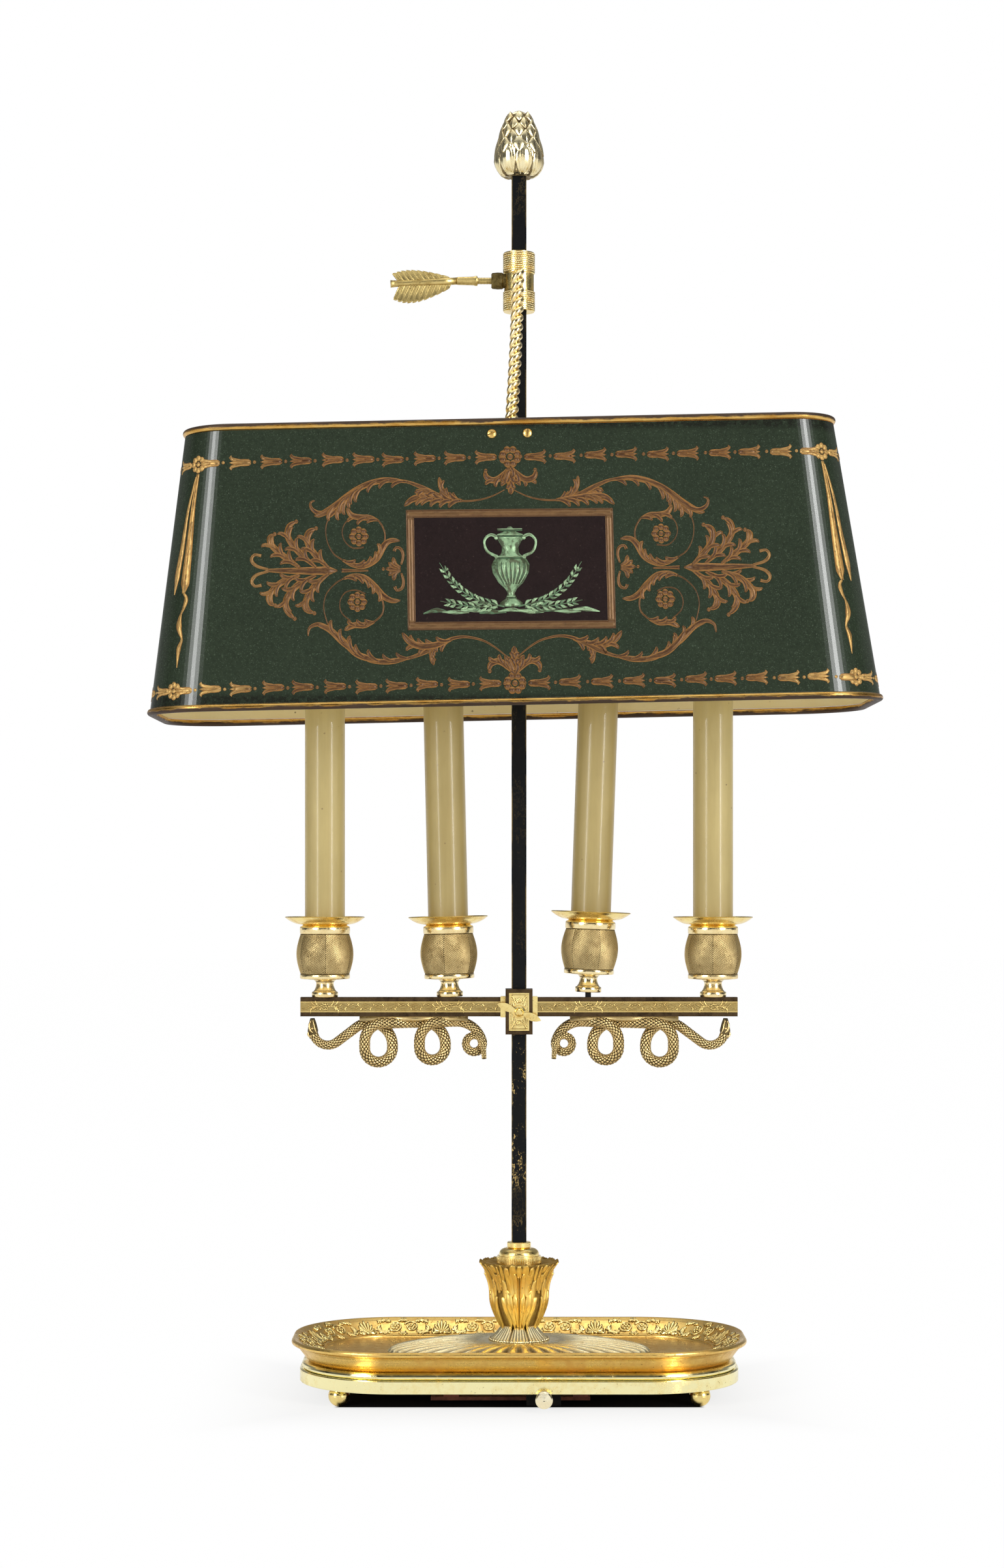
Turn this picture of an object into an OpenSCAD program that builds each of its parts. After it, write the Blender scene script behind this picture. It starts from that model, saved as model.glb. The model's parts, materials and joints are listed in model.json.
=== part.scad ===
// Bouillotte lamp with four candle lights, a sliding painted shade and a sliding candle arm.
// The origin is on the table under the rod, X runs along the arms and -Y is the front.

/* [Base] */
// Length of the tray at its rim
tray_w = 271; // [262:1:285]
// Depth of the tray at its rim
tray_d = 150; // [146:1:160]
// Plan radius of the tray's corners
tray_r = 62; // [58:1:66]
// Height of the tray's rim above its underside
tray_h = 13; // [12:0.5:15]
// Thickness of the tray's floor
tray_floor_t = 3; // [2.5:0.1:4]
// Width of the tray's sloping border
border_w = 19; // [17:0.5:21]
// How far the plinth band stands in from the tray's rim
plinth_inset = 5; // [4:0.5:7]
// Height of the plinth under the tray
plinth_h = 11.7; // [11:0.1:13]
// Height of the moulding along the plinth's top
moulding_h = 4; // [3:0.5:5]
// Wall of the plinth band
plinth_wall = 3.5; // [3:0.1:4.5]
// Diameter of the ball feet
foot_ball_d = 12.5; // [12:0.1:13.5]
// Height of the feet under the plinth
foot_h = 10.3; // [9.8:0.1:11]
// Distance between the feet along the base
foot_span_x = 211; // [205:1:215]
// Distance between the feet across the base
foot_span_y = 94; // [90:1:97]
// Length of the fluted mound on the tray
mound_w = 158; // [150:1:170]
// Depth of the fluted mound
mound_d = 90; // [84:1:96]
// Height of the fluted mound
mound_h = 7; // [6:0.5:8]
// Flutes round the mound
mound_flutes = 44; // [32:4:56]

/* [Stem] */
// Height of the leaf skirt under the vase
skirt_h = 9; // [7:0.5:12]
// Diameter of the leaf skirt
skirt_d = 36.5; // [34:0.5:38]
// Height of the leaf vase
vase_h = 38.5; // [34:0.5:44]
// Diameter of the vase's lip
vase_lip_d = 49; // [46:0.5:53]
// Leaves round the vase
vase_leaves = 8; // [6:1:10]
// Height of the knurled ring
knurl_h = 4.7; // [4:0.1:6]
// Diameter of the knurled ring
knurl_d = 27; // [25:0.5:29]
// Height of the domed nut
dome_h = 4.7; // [4:0.1:6]
// Height of the collar under the rod
stem_collar_h = 3.6; // [3:0.1:5]
// Side of the square rod
rod_s = 8.9; // [8.5:0.1:9.3]
// Length of the square rod
rod_l = 639; // [625:1:660]
// Diameter of the rod's threaded foot
rod_foot_d = 8; // [7:0.1:8.4]
// Height of the finial
finial_h = 40.5; // [36:0.5:45]
// Diameter of the finial
finial_d = 31; // [28:0.5:34]
// Leaves round the foot of the pine cone
finial_leaves = 8; // [6:2:10]

/* [Shade] */
// Height of the shade's bottom rim above the table
shade_z = 410; // [400:1:415]
// Height of the shade
shade_h = 165; // [155:1:170]
// Length of the shade at its bottom
shade_w = 429; // [420:1:445]
// Depth of the shade at its bottom
shade_d = 152; // [148:1:158]
// How much longer the bottom is than the top
shade_flare = 46; // [40:1:56]
// Plan radius of the bottom corners
shade_r = 38; // [34:1:44]
// Plan radius of the top corners
shade_top_r = 28; // [24:1:32]
// How far the shade sits to the left of the rod
shade_shift = 4.2; // [0:0.1:4.4]
// Degrees by which the shade hangs out of level
shade_roll = 1.2; // [0:0.1:1.5]
// Thickness of the sheet
shade_t = 0.8; // [0.6:0.1:1.2]
// Diameter of the wired edges
bead_d = 4; // [3:0.1:5]
// Height of the shade's collar
collar_h = 35.3; // [32:0.5:40]
// Diameter of the shade's collar
collar_d = 18.8; // [18:0.1:21]
// Height from the shade's top rim up to the collar
collar_rise = 73.8; // [68:0.5:82]
// Running clearance between the rod and what slides on it
slide_gap = 0.1; // [0.06:0.01:0.2]
// Diameter of one strand of the twisted arm
strand_d = 4.1; // [3.6:0.1:4.4]
// Length of one full twist
twist_pitch = 12; // [11:0.5:14]
// Height of the two screws under the top rim
shade_screw_drop = 7.5; // [7:0.1:9]
// Distance between the two screws
shade_screw_gap = 20.8; // [19:0.1:23]

/* [Keys] */
// Diameter of the feather key's thread
key_thread_d = 4.2; // [3.8:0.1:4.6]
// Radial clearance of threads and pads in their holes
thread_gap = 0.05; // [0.03:0.01:0.1]
// Length of the feather
feather_l = 41; // [36:1:46]
// Height of the feather
feather_h = 20; // [17:0.5:23]
// Barbs on each side of the feather
feather_barbs = 9; // [6:1:11]
// Diameter of the wing screw's thread
wing_thread_d = 3.4; // [3:0.1:4]
// Distance between the wing tips
wing_span = 28; // [25:0.5:32]

/* [Arms] */
// Height of the arm's underside above the table
bar_z = 225.9; // [220:0.5:230]
// Height of the arm bars
bar_h = 11.5; // [10:0.1:13]
// Thickness of the arm bars
bar_t = 8; // [7.5:0.1:10]
// Length of the arms from tip to tip
bar_w = 262; // [258:1:272]
// Width of the sliding block
block_w = 16.2; // [15.5:0.1:18]
// Height of the sliding block
block_h = 27.1; // [25:0.1:30]
// Depth of the sliding block
block_d = 18; // [17:0.1:20]
// Diameter of the serpents' bodies
serpent_d = 6; // [5:0.1:6.2]

/* [Candles] */
// Distance from the rod to the inner candles
inner_x = 41.5; // [40.5:0.5:44]
// Distance from the rod to the outer candles
outer_x = 116.5; // [112:0.5:118]
// Diameter of the candle cups' barrels
barrel_d = 34.7; // [33:0.1:37]
// Height of the candle cups
cup_h = 43.6; // [41:0.1:48]
// Height by which the third cup has worked loose
loose_lift = 3; // [0.5:0.5:4]
// Degrees by which the second candle leans to the left
lean_left = 1.3; // [0:0.1:1.5]
// Degrees by which the third candle leans to the right
lean_right = 2; // [0:0.1:2.2]
// Diameter of the studs that hold the cups
stud_d = 3.5; // [3:0.1:4.2]
// Diameter of the drip pans
pan_d = 48; // [44:0.5:52]
// Diameter of the candle sleeves
sleeve_d = 24; // [23:0.1:25]
// Height of the candle sleeves
sleeve_h = 183; // [176:1:190]
// Wall of the candle sleeves
sleeve_wall = 1.1; // [0.8:0.1:1.6]
// Diameter of the bulbs
bulb_d = 35; // [32:0.5:36]
// Height of the glass of the bulbs
bulb_h = 92; // [80:1:96]

/* [Switch] */
// Diameter of the switch knob
knob_d = 10; // [9:0.1:11]
// Diameter of the switch shaft
knob_shaft_d = 3.6; // [3:0.1:3.8]
// Distance of the switch from the rod
switch_x = 14; // [10:0.5:18]

/* [Hidden] */
$fn = 64;
clearance = 0.2;
seat_gap = 0.1;
eps = 0.01;
candle_x = [-outer_x, -inner_x, inner_x, outer_x];
candle_lift = [0, 0.25, loose_lift, 0];
candle_lean = [0, -lean_left, lean_right, 0];
stud_play = 0.8;

plinth_w = tray_w - 2 * plinth_inset;
plinth_d = tray_d - 2 * plinth_inset;
plinth_r = tray_r - plinth_inset;
tray_z = foot_h + plinth_h;
floor_z = tray_z + tray_floor_t;
mound_top = floor_z + mound_h;
skirt_top = mound_top + skirt_h;
vase_seat = skirt_top + vase_h - 2;
knurl_top = vase_seat + knurl_h;
dome_top = knurl_top + dome_h;
rod_z = dome_top + stem_collar_h;
rod_top = rod_z + rod_l;
rod_hole_d = rod_foot_d + 2 * clearance;
rod_tail = 9;
rod_stud_d = 5;
rod_stud_l = 12;

flange_w = 12;
flange_t = 2.5;
tray_screw_d = 3;
tray_screw_x = 60;
tray_screw_y = tray_d / 2 - border_w + 2;
foot_stud_d = 4;
foot_boss_d = 12;

shade_top_z = shade_z + shade_h;
shade_tilt = atan(shade_flare / 2 / shade_h);
collar_z = shade_top_z + collar_rise;
key_z = collar_z + 0.53 * collar_h;
bore_s = rod_s + 2 * slide_gap;
boss_seat = 7.9;
boss_l = 8.7;
boss_d = 10;
bracket_t = 1.6;
shade_screw_d = 2.6;

pad_t = 1.2;
block_z = bar_z + bar_h / 2 - block_h / 2 - 2.8;
wing_z = block_z + block_h / 2;
end_block_w = 3;
plaque_t = 0.8;
frieze_t = 0.8;
cup_z = bar_z + bar_h;
cup_floor = 24.6;
stud_up = 14;
bore_r = sleeve_d / 2 + clearance;
pan_t = 1;

cap_d = 13.9;
knob_z = foot_h - knob_shaft_d / 2 - 0.5;
knob_y = -plinth_d / 2 - 0.5;
knob_shaft_l = 18;
switch_size = [20, 16, 12];
switch_y = -plinth_d / 2 + plinth_wall + 4.5;
board_w = 93.5;
board_d = -2 * (switch_y + switch_size.y + 4);
board_t = 2;
board_x = -5.2;
board_z = foot_h - 6;
block_b = 9;
block_x = [board_x - board_w / 2 + 12, board_x + board_w / 2 - 5.5];
cover_screw_in = 12;

// ---- shared shapes ----

// Rectangle with round corners, as lines and true arcs
module round_rect(l, d, r) {
  square([l - 2 * r, d], center = true);
  square([l, d - 2 * r], center = true);
  for (x = [-1, 1], y = [-1, 1])
    translate([x * (l / 2 - r), y * (d / 2 - r)]) circle(r);
}

// Sweep a profile round a rounded rectangle: its x counts out from the corners' centres
module rim_sweep(l, d, r) {
  for (i = [0:3]) rotate([0, 0, 90 * i]) {
    a = i % 2 == 0 ? l / 2 - r : d / 2 - r;
    b = i % 2 == 0 ? d / 2 - r : l / 2 - r;
    translate([a, b, 0]) rotate_extrude(angle = 90) children();
    translate([a, b, 0]) rotate([90, 0, 0]) linear_extrude(2 * b) children();
  }
}

// A turned piece from its half outline
module turned(points) {
  rotate_extrude() polygon(points);
}

// A cylinder that lies along Y from y to y + l
module bar_y(x, y, z, d, l) {
  translate([x, y, z]) rotate([-90, 0, 0]) cylinder(d = d, h = l);
}

// A cylinder that lies along X from x to x + l
module bar_x(x, y, z, d, l) {
  translate([x, y, z]) rotate([0, 90, 0]) cylinder(d = d, h = l);
}

function arc(cx, cy, r, a0, a1, n = 6) =
  [for (i = [0:n]) let (a = a0 + (a1 - a0) * i / n) [cx + r * cos(a), cy + r * sin(a)]];
function unit(v) = v / norm(v);
function sum(list) = list * [for (v = list) 1];
function ease(t) = (1 - cos(180 * t)) / 2;

// One closed skin over rings of points, each ring with the same number of points
module skin(rings) {
  n = len(rings[0]);
  m = len(rings);
  function middle(ring) = [for (i = [0:2]) sum([for (p = ring) p[i]]) / n];
  points = concat([for (ring = rings) for (p = ring) p], [middle(rings[0]), middle(rings[m - 1])]);
  faces = [for (j = [0:n - 1]) let (k = (j + 1) % n, top = (m - 1) * n)
    each concat([[j, k, m * n], [top + k, top + j, m * n + 1]],
      [for (i = [0:m - 2]) each
        [[i * n + k, i * n + j, (i + 1) * n + k], [(i + 1) * n + k, i * n + j, (i + 1) * n + j]]])];
  polyhedron(points, faces);
}

// Round rope along a path; radii holds one radius for each point of the path
module rope(path, radii, sides = 8) {
  m = len(path);
  function along(i) = unit(path[min(i + 1, m - 1)] - path[max(i - 1, 0)]);
  skin([for (i = [0:m - 1]) let (t = along(i), u = unit(cross(t, [0, 1, 0])), v = cross(u, t))
    [for (j = [0:sides - 1]) let (a = -360 * j / sides)
      path[i] + radii[i] * (cos(a) * u + sin(a) * v)]]);
}

// ---- base ----

module ball_foot() {
  r = foot_ball_d / 2;
  cz = r - 0.4;
  neck_z = foot_h - 1.5;
  a0 = -acos(sqrt(r * r - cz * cz) / r);
  a1 = asin((neck_z - cz) / r);
  turned(concat([[0, 0]], arc(0, cz, r, a0, a1, 10), [[r - 1.7, neck_z], [r - 1.7, foot_h], [0, foot_h]]));
  cylinder(d = foot_stud_d, h = tray_z - 3);
}

module at_feet() {
  for (x = [-1, 1], y = [-1, 1])
    translate([x * foot_span_x / 2, y * foot_span_y / 2, 0]) children();
}

module ball_feet() {
  color("goldenrod") at_feet() ball_foot();
}

module at_tray_screws() {
  for (x = [-1, 1], y = [-1, 1])
    translate([x * tray_screw_x, y * tray_screw_y, 0]) children();
}

module plinth_band() {
  r = plinth_r;
  step = 1.2;
  roll = moulding_h / 2;
  moulding_z = tray_z - moulding_h;
  color("gold") difference() {
    union() {
      rim_sweep(plinth_w, plinth_d, r)
        polygon(concat(
          [[r - plinth_wall, foot_h], [r - 0.4, foot_h], [r, foot_h + 0.4], [r, moulding_z - 0.6],
           [r - step, moulding_z]],
          arc(r - step - roll, moulding_z + roll, roll, -90, 90, 6),
          [[r - plinth_wall - flange_w, tray_z], [r - plinth_wall - flange_w, tray_z - flange_t],
           [r - plinth_wall, tray_z - flange_t]]));
      at_feet() translate([0, 0, foot_h]) cylinder(d = foot_boss_d, h = plinth_h);
    }
    at_feet() translate([0, 0, foot_h - eps]) cylinder(d = foot_stud_d + 2 * clearance, h = plinth_h - 2);
    at_tray_screws() cylinder(d = tray_screw_d + 2 * clearance, h = 2 * tray_z);
  }
}

module tray() {
  r = tray_r;
  lip = 1.6;
  lip_z = tray_z + tray_h - lip;
  foot_in = 11.5;
  side_z = lip_z - lip;
  bead_r = 0.9;
  slope_in = border_w - 2 * bead_r;
  n = 7;
  outer = [for (i = [0:n]) let (t = i / n)
    [r - foot_in + (foot_in - lip) * t, tray_z + (side_z - tray_z) * (0.35 * t + 0.65 * ease(t))]];
  slope = [for (i = [0:n]) let (t = i / n)
    [r - 2 * lip - 1 - (slope_in - 2 * lip - 1) * t,
     tray_z + tray_h - 1 - (tray_h - tray_floor_t - 2.2) * (0.6 * t + 0.4 * ease(t))]];
  color("gold") difference() {
    union() {
      rim_sweep(tray_w, tray_d, r)
        polygon(concat(
          [[0, tray_z]], outer, arc(r - lip, lip_z, lip, -90, 120, 9),
          [[r - 2 * lip - 0.6, tray_z + tray_h - 0.8]], slope,
          arc(r - slope_in - bead_r, floor_z + 0.4, bead_r, 40, 180, 5),
          [[r - border_w - 0.5, floor_z], [0, floor_z]]));
      translate([0, 0, tray_z]) linear_extrude(tray_floor_t)
        round_rect(tray_w - 2 * foot_in, tray_d - 2 * foot_in, r - foot_in);
    }
    translate([0, 0, tray_z - eps]) cylinder(d = rod_hole_d, h = 2 * tray_floor_t);
    at_tray_screws() translate([0, 0, tray_z - eps]) cylinder(d = tray_screw_d + clearance, h = 3);
  }
}

module tray_screws() {
  head_z = tray_z - flange_t - 2;
  color("darkgoldenrod") at_tray_screws() difference() {
    union() {
      translate([0, 0, head_z]) cylinder(d = 5.6, h = 2);
      translate([0, 0, head_z]) cylinder(d = tray_screw_d, h = flange_t + 4.5);
    }
    translate([0, 0, head_z]) cube([8, 0.8, 1.6], center = true);
  }
}

// Flutes fan out from the rod and swell at the rim of an oval
module gadrooned_mound() {
  around = mound_flutes * 4;
  levels = 6;
  flute_depth = 1.9;
  hole_r = rod_hole_d / 2;
  // half lengths of the flat top, which the skirt stands on
  flat_r = skirt_d / 2 + 1;
  function oval(a, s) =
    let (x = flat_r + (mound_w / 2 - flat_r) * s, y = flat_r + (mound_d / 2 - flat_r) * s)
    [x * cos(a), y * sin(a)];
  function height(s, j) =
    let (dome = mound_h * (1 - 0.72 * s * s * s), crest = abs(sin(180 * j / 4)))
    dome - flute_depth * ease(min(1, s * 1.6)) * (1 - crest);
  function ring(s, z0) = [for (j = [0:around - 1]) let (p = oval(360 * j / around, s))
    [p.x, p.y, floor_z + (z0 ? 0 : height(s, j))]];
  function hole(z) = [for (j = [0:around - 1]) let (a = 360 * j / around)
    [hole_r * cos(a), hole_r * sin(a), z]];
  color("gold") difference() {
    skin(concat([ring(1, true)], [for (i = [levels:-1:0]) ring(i / levels, false)]));
    translate([0, 0, floor_z - 1]) cylinder(r = hole_r, h = mound_h + 2);
  }
}

// ---- stem ----

// A cup of leaves: outline gives radius and height, lobes waves the surface
module leaf_cup(outline, leaves, wave, lip, hole_d, samples = 10) {
  around = leaves * samples;
  top = outline[len(outline) - 1];
  difference() {
    skin([for (k = [0:len(outline) - 1]) let (p = outline[k], share = k / (len(outline) - 1))
      [for (j = [0:around - 1])
        let (a = 360 * j / around, crest = abs(sin(leaves * a / 2)), notch = pow(1 - crest, 2))
        let (r = p[0] * (1 - wave * notch))
        [r * cos(a), r * sin(a), p[1] - lip * share * share * notch]]]);
    translate([0, 0, outline[0][1] - 1]) cylinder(d = hole_d, h = top[1] - outline[0][1] + 2);
  }
}

module leaf_skirt() {
  r = skirt_d / 2;
  neck = r * 0.56;
  color("gold") mirror([0, 0, 1])
    leaf_cup([for (i = [0:5]) let (t = i / 5) [neck + (r - neck) * pow(t, 1.25), -skirt_top + skirt_h * t]],
             16, 0.06, 0, rod_hole_d, 6);
}

module leaf_vase() {
  r = vase_lip_d / 2;
  z = skirt_top;
  foot = r * 0.42;
  waist = r * 0.67;
  belly = [for (i = [0:4]) let (t = i / 4) [foot + (waist - foot) * sin(90 * t), z + 0.46 * vase_h * t]];
  flare = [for (i = [1:6]) let (t = i / 6)
    [waist + (r - waist) * pow(t, 2.2), z + 0.46 * vase_h + 0.54 * vase_h * t]];
  color("goldenrod") difference() {
    leaf_cup(concat(belly, flare), vase_leaves, 0.05, 1.2, rod_hole_d);
    translate([0, 0, vase_seat])
      turned([[0, 0], [knurl_d / 2 + 0.5, 0], [r - 1.6, 3], [r - 1.6, 9], [0, 9]]);
  }
}

module knurled_ring() {
  teeth = 60;
  color("gold") translate([0, 0, vase_seat]) difference() {
    union() {
      linear_extrude(knurl_h) circle(d = knurl_d - 0.8);
      translate([0, 0, 0.7]) linear_extrude(knurl_h - 1.4) difference() {
        circle(d = knurl_d);
        for (i = [0:teeth - 1]) rotate(360 * i / teeth)
          translate([knurl_d / 2, 0]) circle(r = 0.35, $fn = 4);
      }
    }
    translate([0, 0, -eps]) cylinder(d = rod_hole_d, h = 2 * knurl_h);
  }
}

module dome_nut() {
  r = knurl_d / 2 - 1.5;
  rise = dome_h - 1;
  color("gold") translate([0, 0, knurl_top]) difference() {
    turned(concat([[0, 0], [r, 0]],
                  [for (i = [0:8]) let (a = 90 * i / 8) [7.5 + (r - 7.5) * cos(a), 1 + rise * sin(a)]],
                  [[0, dome_h]]));
    translate([0, 0, -eps]) cylinder(d = rod_hole_d, h = 2 * dome_h);
  }
}

module stem_collar() {
  color("gold") translate([0, 0, dome_top]) difference() {
    turned([[0, 0], [6.4, 0], [7.1, 0.7], [7.1, stem_collar_h - 0.4], [6.7, stem_collar_h],
            [0, stem_collar_h]]);
    translate([0, 0, -eps]) cylinder(d = rod_hole_d, h = 2 * stem_collar_h);
  }
}

module rod() {
  color([0.1, 0.1, 0.1]) {
    translate([-rod_s / 2, -rod_s / 2, rod_z]) cube([rod_s, rod_s, rod_l]);
    translate([0, 0, tray_z - rod_tail]) cylinder(d = rod_foot_d, h = rod_z - tray_z + rod_tail + 1);
    translate([0, 0, rod_top - 1]) cylinder(d = rod_stud_d, h = rod_stud_l + 1);
  }
}

module tie_nut() {
  color("darkgoldenrod") translate([0, 0, tray_z]) mirror([0, 0, 1]) difference() {
    union() {
      cylinder(d = 22, h = 1.5);
      cylinder(d = 15, h = rod_tail - 1, $fn = 6);
    }
    translate([0, 0, -eps]) cylinder(d = rod_foot_d + clearance, h = rod_tail + 1);
  }
}

// Pine cone: rows of pointed scales over a ring of tall leaves
module finial() {
  samples = 6;
  around = finial_leaves * samples;
  levels = 15;
  leaf_share = 0.48;
  carve = 0.11;
  // share of the radius at a share of the height
  outline = [[0, 0.5], [0.05, 0.79], [0.15, 0.95], [0.25, 1], [0.38, 0.96], [0.55, 0.83], [0.72, 0.68],
             [0.85, 0.53], [0.94, 0.4], [1, 0.19]];
  function crest(j, k) = k < leaf_share * levels
    ? pow(abs(sin(180 * j / samples)), 0.5)
    : abs((j + 2 * (k % 2)) % 4 - 2) / 2;
  function radius(j, k) = finial_d / 2 * lookup(k / levels, outline) * (1 - carve * (1 - crest(j, k)));
  color("gold") difference() {
    skin([for (k = [0:levels]) [for (j = [0:around - 1]) let (a = 360 * j / around, q = radius(j, k))
      [q * cos(a), q * sin(a), rod_top + finial_h * k / levels]]]);
    translate([0, 0, rod_top - eps]) cylinder(d = rod_stud_d + clearance, h = rod_stud_l + 0.5);
  }
}

// ---- under the base ----

module cover_blocks() {
  color("sienna") difference() {
    for (x = block_x) translate([x - block_b / 2, -board_d / 2, board_z])
      cube([block_b, board_d, tray_z - board_z]);
    at_cover_screws() cylinder(d = 2.6, h = board_t + 8);
  }
}

module at_cover_screws() {
  for (x = block_x, side = [-1, 1])
    translate([x, side * (board_d / 2 - cover_screw_in), board_z - board_t]) children();
}

module cover_board() {
  color("saddlebrown") difference() {
    translate([board_x - board_w / 2, -board_d / 2, board_z - board_t]) cube([board_w, board_d, board_t]);
    at_cover_screws() translate([0, 0, -eps]) turned([[0, 0], [2.8, 0], [1.5, 1.4], [1.5, 3], [0, 3]]);
  }
}

module cover_screws() {
  color("darkgoldenrod") at_cover_screws() turned([[0, 0], [2.5, 0], [1.2, 1.3], [1.2, 8], [0, 9.5]]);
}

module switch_body() {
  b = switch_size;
  body_z = knob_z - b.z / 2 + 0.6;
  lug_y = -plinth_d / 2 + plinth_wall + flange_w + 0.3;
  shaft_end = knob_y + knob_shaft_l;
  color([0.15, 0.13, 0.12]) difference() {
    union() {
      translate([switch_x - b.x / 2, switch_y, body_z]) cube(b);
      bar_y(switch_x, switch_y - 3.5, knob_z, 7, 4);
      bar_y(switch_x, switch_y - 1.6, knob_z, 10, 2);
      translate([switch_x - b.x / 2, switch_y + b.y - 2, body_z]) cube([b.x, 2, tray_z - body_z]);
      translate([switch_x - b.x / 2, lug_y, tray_z - 1.2]) cube([b.x, switch_y + b.y - lug_y, 1.2]);
    }
    bar_y(switch_x, switch_y - 4, knob_z, knob_shaft_d + 2 * thread_gap, shaft_end + 0.5 - switch_y + 4);
  }
}

module switch_knob() {
  r = knob_d / 2;
  color("gold") translate([switch_x, knob_y, knob_z]) rotate([90, 0, 0])
    turned([[0, -knob_shaft_l], [knob_shaft_d / 2, -knob_shaft_l], [knob_shaft_d / 2, 0],
            [r - 0.7, 0], [r - 0.4, 0.4], [r - 0.4, 1.2], [r - 1, 1.7], [r - 2, 2.2], [r - 2.2, 3.2],
            [r - 1, 4], [r, 4.4], [r, 6.2], [r - 0.8, 7], [0, 7.5]]);
}

// ---- shade ----

module shade_collar() {
  r = collar_d / 2;
  groove = 0.25;
  pitch = 1.1;
  band = 12;
  n = floor(band / pitch);
  function grooves(z0) = [for (i = [0:n - 1]) each [[r, z0 + i * pitch], [r, z0 + (i + 0.6) * pitch],
                                                    [r - groove, z0 + (i + 0.8) * pitch]]];
  color("gold") difference() {
    translate([0, 0, collar_z]) turned(concat(
      [[0, 0], [r - 0.3, 0]], grooves(0.4), [[r - 0.5, band + 0.8], [r - 0.5, collar_h - band - 0.8]],
      grooves(collar_h - band - 0.4), [[r - 0.3, collar_h], [0, collar_h]]));
    translate([-bore_s / 2, -bore_s / 2, collar_z - 1]) cube([bore_s, bore_s, collar_h + 2]);
    bar_x(-collar_d, 0, key_z, key_thread_d + 2 * thread_gap, collar_d);
    bar_x(-collar_d - boss_seat, 0, key_z, boss_d + 2 * clearance, collar_d);
  }
}

module key_boss() {
  color([0.35, 0.27, 0.15]) difference() {
    translate([-boss_seat, 0, key_z]) rotate([0, -90, 0])
      turned([[0, 0], [boss_d / 2 - 0.8, 0], [boss_d / 2 - 0.6, 1.6], [boss_d / 2 - 0.1, 2.2],
              [boss_d / 2, 5], [boss_d / 2 - 0.3, boss_l - 0.6], [boss_d / 2 - 1, boss_l], [0, boss_l]]);
    bar_x(-boss_seat - boss_l - 1, 0, key_z, key_thread_d + 2 * thread_gap, boss_l + 2);
  }
}

// Two strands twisted round a line that leans forward to the shade's front wall
module twisted_arm() {
  // half the width of the twist: the two strands bite into each other
  twist_r = 0.45 * strand_d;
  reach = twist_r + strand_d / 2;
  top = [-0.6, -collar_d / 2 - reach - seat_gap, key_z + 3];
  foot_drop = 13;
  front = shade_at(shade_h - foot_drop)[1] / 2 - shade_t - seat_gap - bracket_t;
  foot = [-shade_shift - (shade_h / 2 - foot_drop) * tan(shade_roll), reach + 0.3 - front,
          shade_top_z - foot_drop];
  length = norm(foot - top);
  steps = round(length / 1.2);
  function axis_at(t) = [top.x + (foot.x - top.x) * pow(t, 1.5), top.y + (foot.y - top.y) * pow(t, 1.15),
                         top.z + (foot.z - top.z) * t];
  lean = unit(foot - top);
  u = unit(cross(lean, [1, 0, 0]));
  v = cross(lean, u);
  function strand(side) = [for (i = [0:steps])
    let (t = i / steps, a = 360 * length * t / twist_pitch + 180 * side)
    axis_at(t) + twist_r * (cos(a) * u + sin(a) * v)];
  color("gold") for (side = [0, 1])
    rope(strand(side), [for (i = [0:steps]) strand_d / 2]);
}

// The shade's own frame: its middle is the origin, and it hangs a little off centre and out of level
module hang() {
  translate([-shade_shift, 0, shade_z + shade_h / 2]) rotate([0, -shade_roll, 0]) children();
}

// Length, depth and corner radius of the sheet at a height above the bottom rim
function shade_at(h) = let (k = h / shade_h)
  [shade_w - shade_flare * k, shade_d - shade_flare * k, shade_r + (shade_top_r - shade_r) * k];

module shade_slice(h, inset) {
  s = shade_at(h);
  translate([0, 0, h - shade_h / 2]) linear_extrude(eps)
    round_rect(s[0] - 2 * inset, s[1] - 2 * inset, s[2] - inset, $fn = 96);
}

module shade_shell() {
  low = bead_d / 2 + seat_gap;
  high = shade_h - bead_d / 2 - seat_gap;
  color([0.17, 0.25, 0.19]) hang() difference() {
    hull() {
      shade_slice(low, 0);
      shade_slice(high - eps, 0);
    }
    hull() {
      shade_slice(low - 1, shade_t);
      shade_slice(high + 1, shade_t);
    }
    at_shade_screws() translate([0, 0, -10]) cylinder(d = shade_screw_d + clearance, h = 20);
  }
}

// The screws stand square on the leaning front wall: local Z points out of the shade
module at_shade_screws() {
  s = shade_at(shade_h - shade_screw_drop);
  for (x = [-1, 1]) {
    $slot_angle = x < 0 ? 20 : 82;
    translate([x * shade_screw_gap / 2, -s[1] / 2, shade_h / 2 - shade_screw_drop])
      rotate([90 - shade_tilt, 0, 0]) children();
  }
}

module shade_bead(h) {
  s = shade_at(h);
  r = s[2] - shade_t / 2;
  hang() translate([0, 0, h - shade_h / 2]) rim_sweep(s[0] - shade_t, s[1] - shade_t, r)
    translate([r, 0]) circle(d = bead_d);
}

module top_bead() {
  color("darkgoldenrod") shade_bead(shade_h);
}

module bottom_bead() {
  color("darkgoldenrod") shade_bead(0);
}

// Strap inside the front wall that the twisted arm is brazed to
module shade_bracket() {
  s = shade_at(shade_h - shade_screw_drop);
  w = shade_screw_gap + 8;
  color("darkgoldenrod") hang() difference() {
    translate([0, -s[1] / 2, shade_h / 2 - shade_screw_drop]) rotate([90 - shade_tilt, 0, 0])
      translate([-w / 2, -6, -shade_t - seat_gap - bracket_t]) cube([w, 10, bracket_t]);
    at_shade_screws() translate([0, 0, -10]) cylinder(d = shade_screw_d + clearance, h = 20);
  }
}

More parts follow.
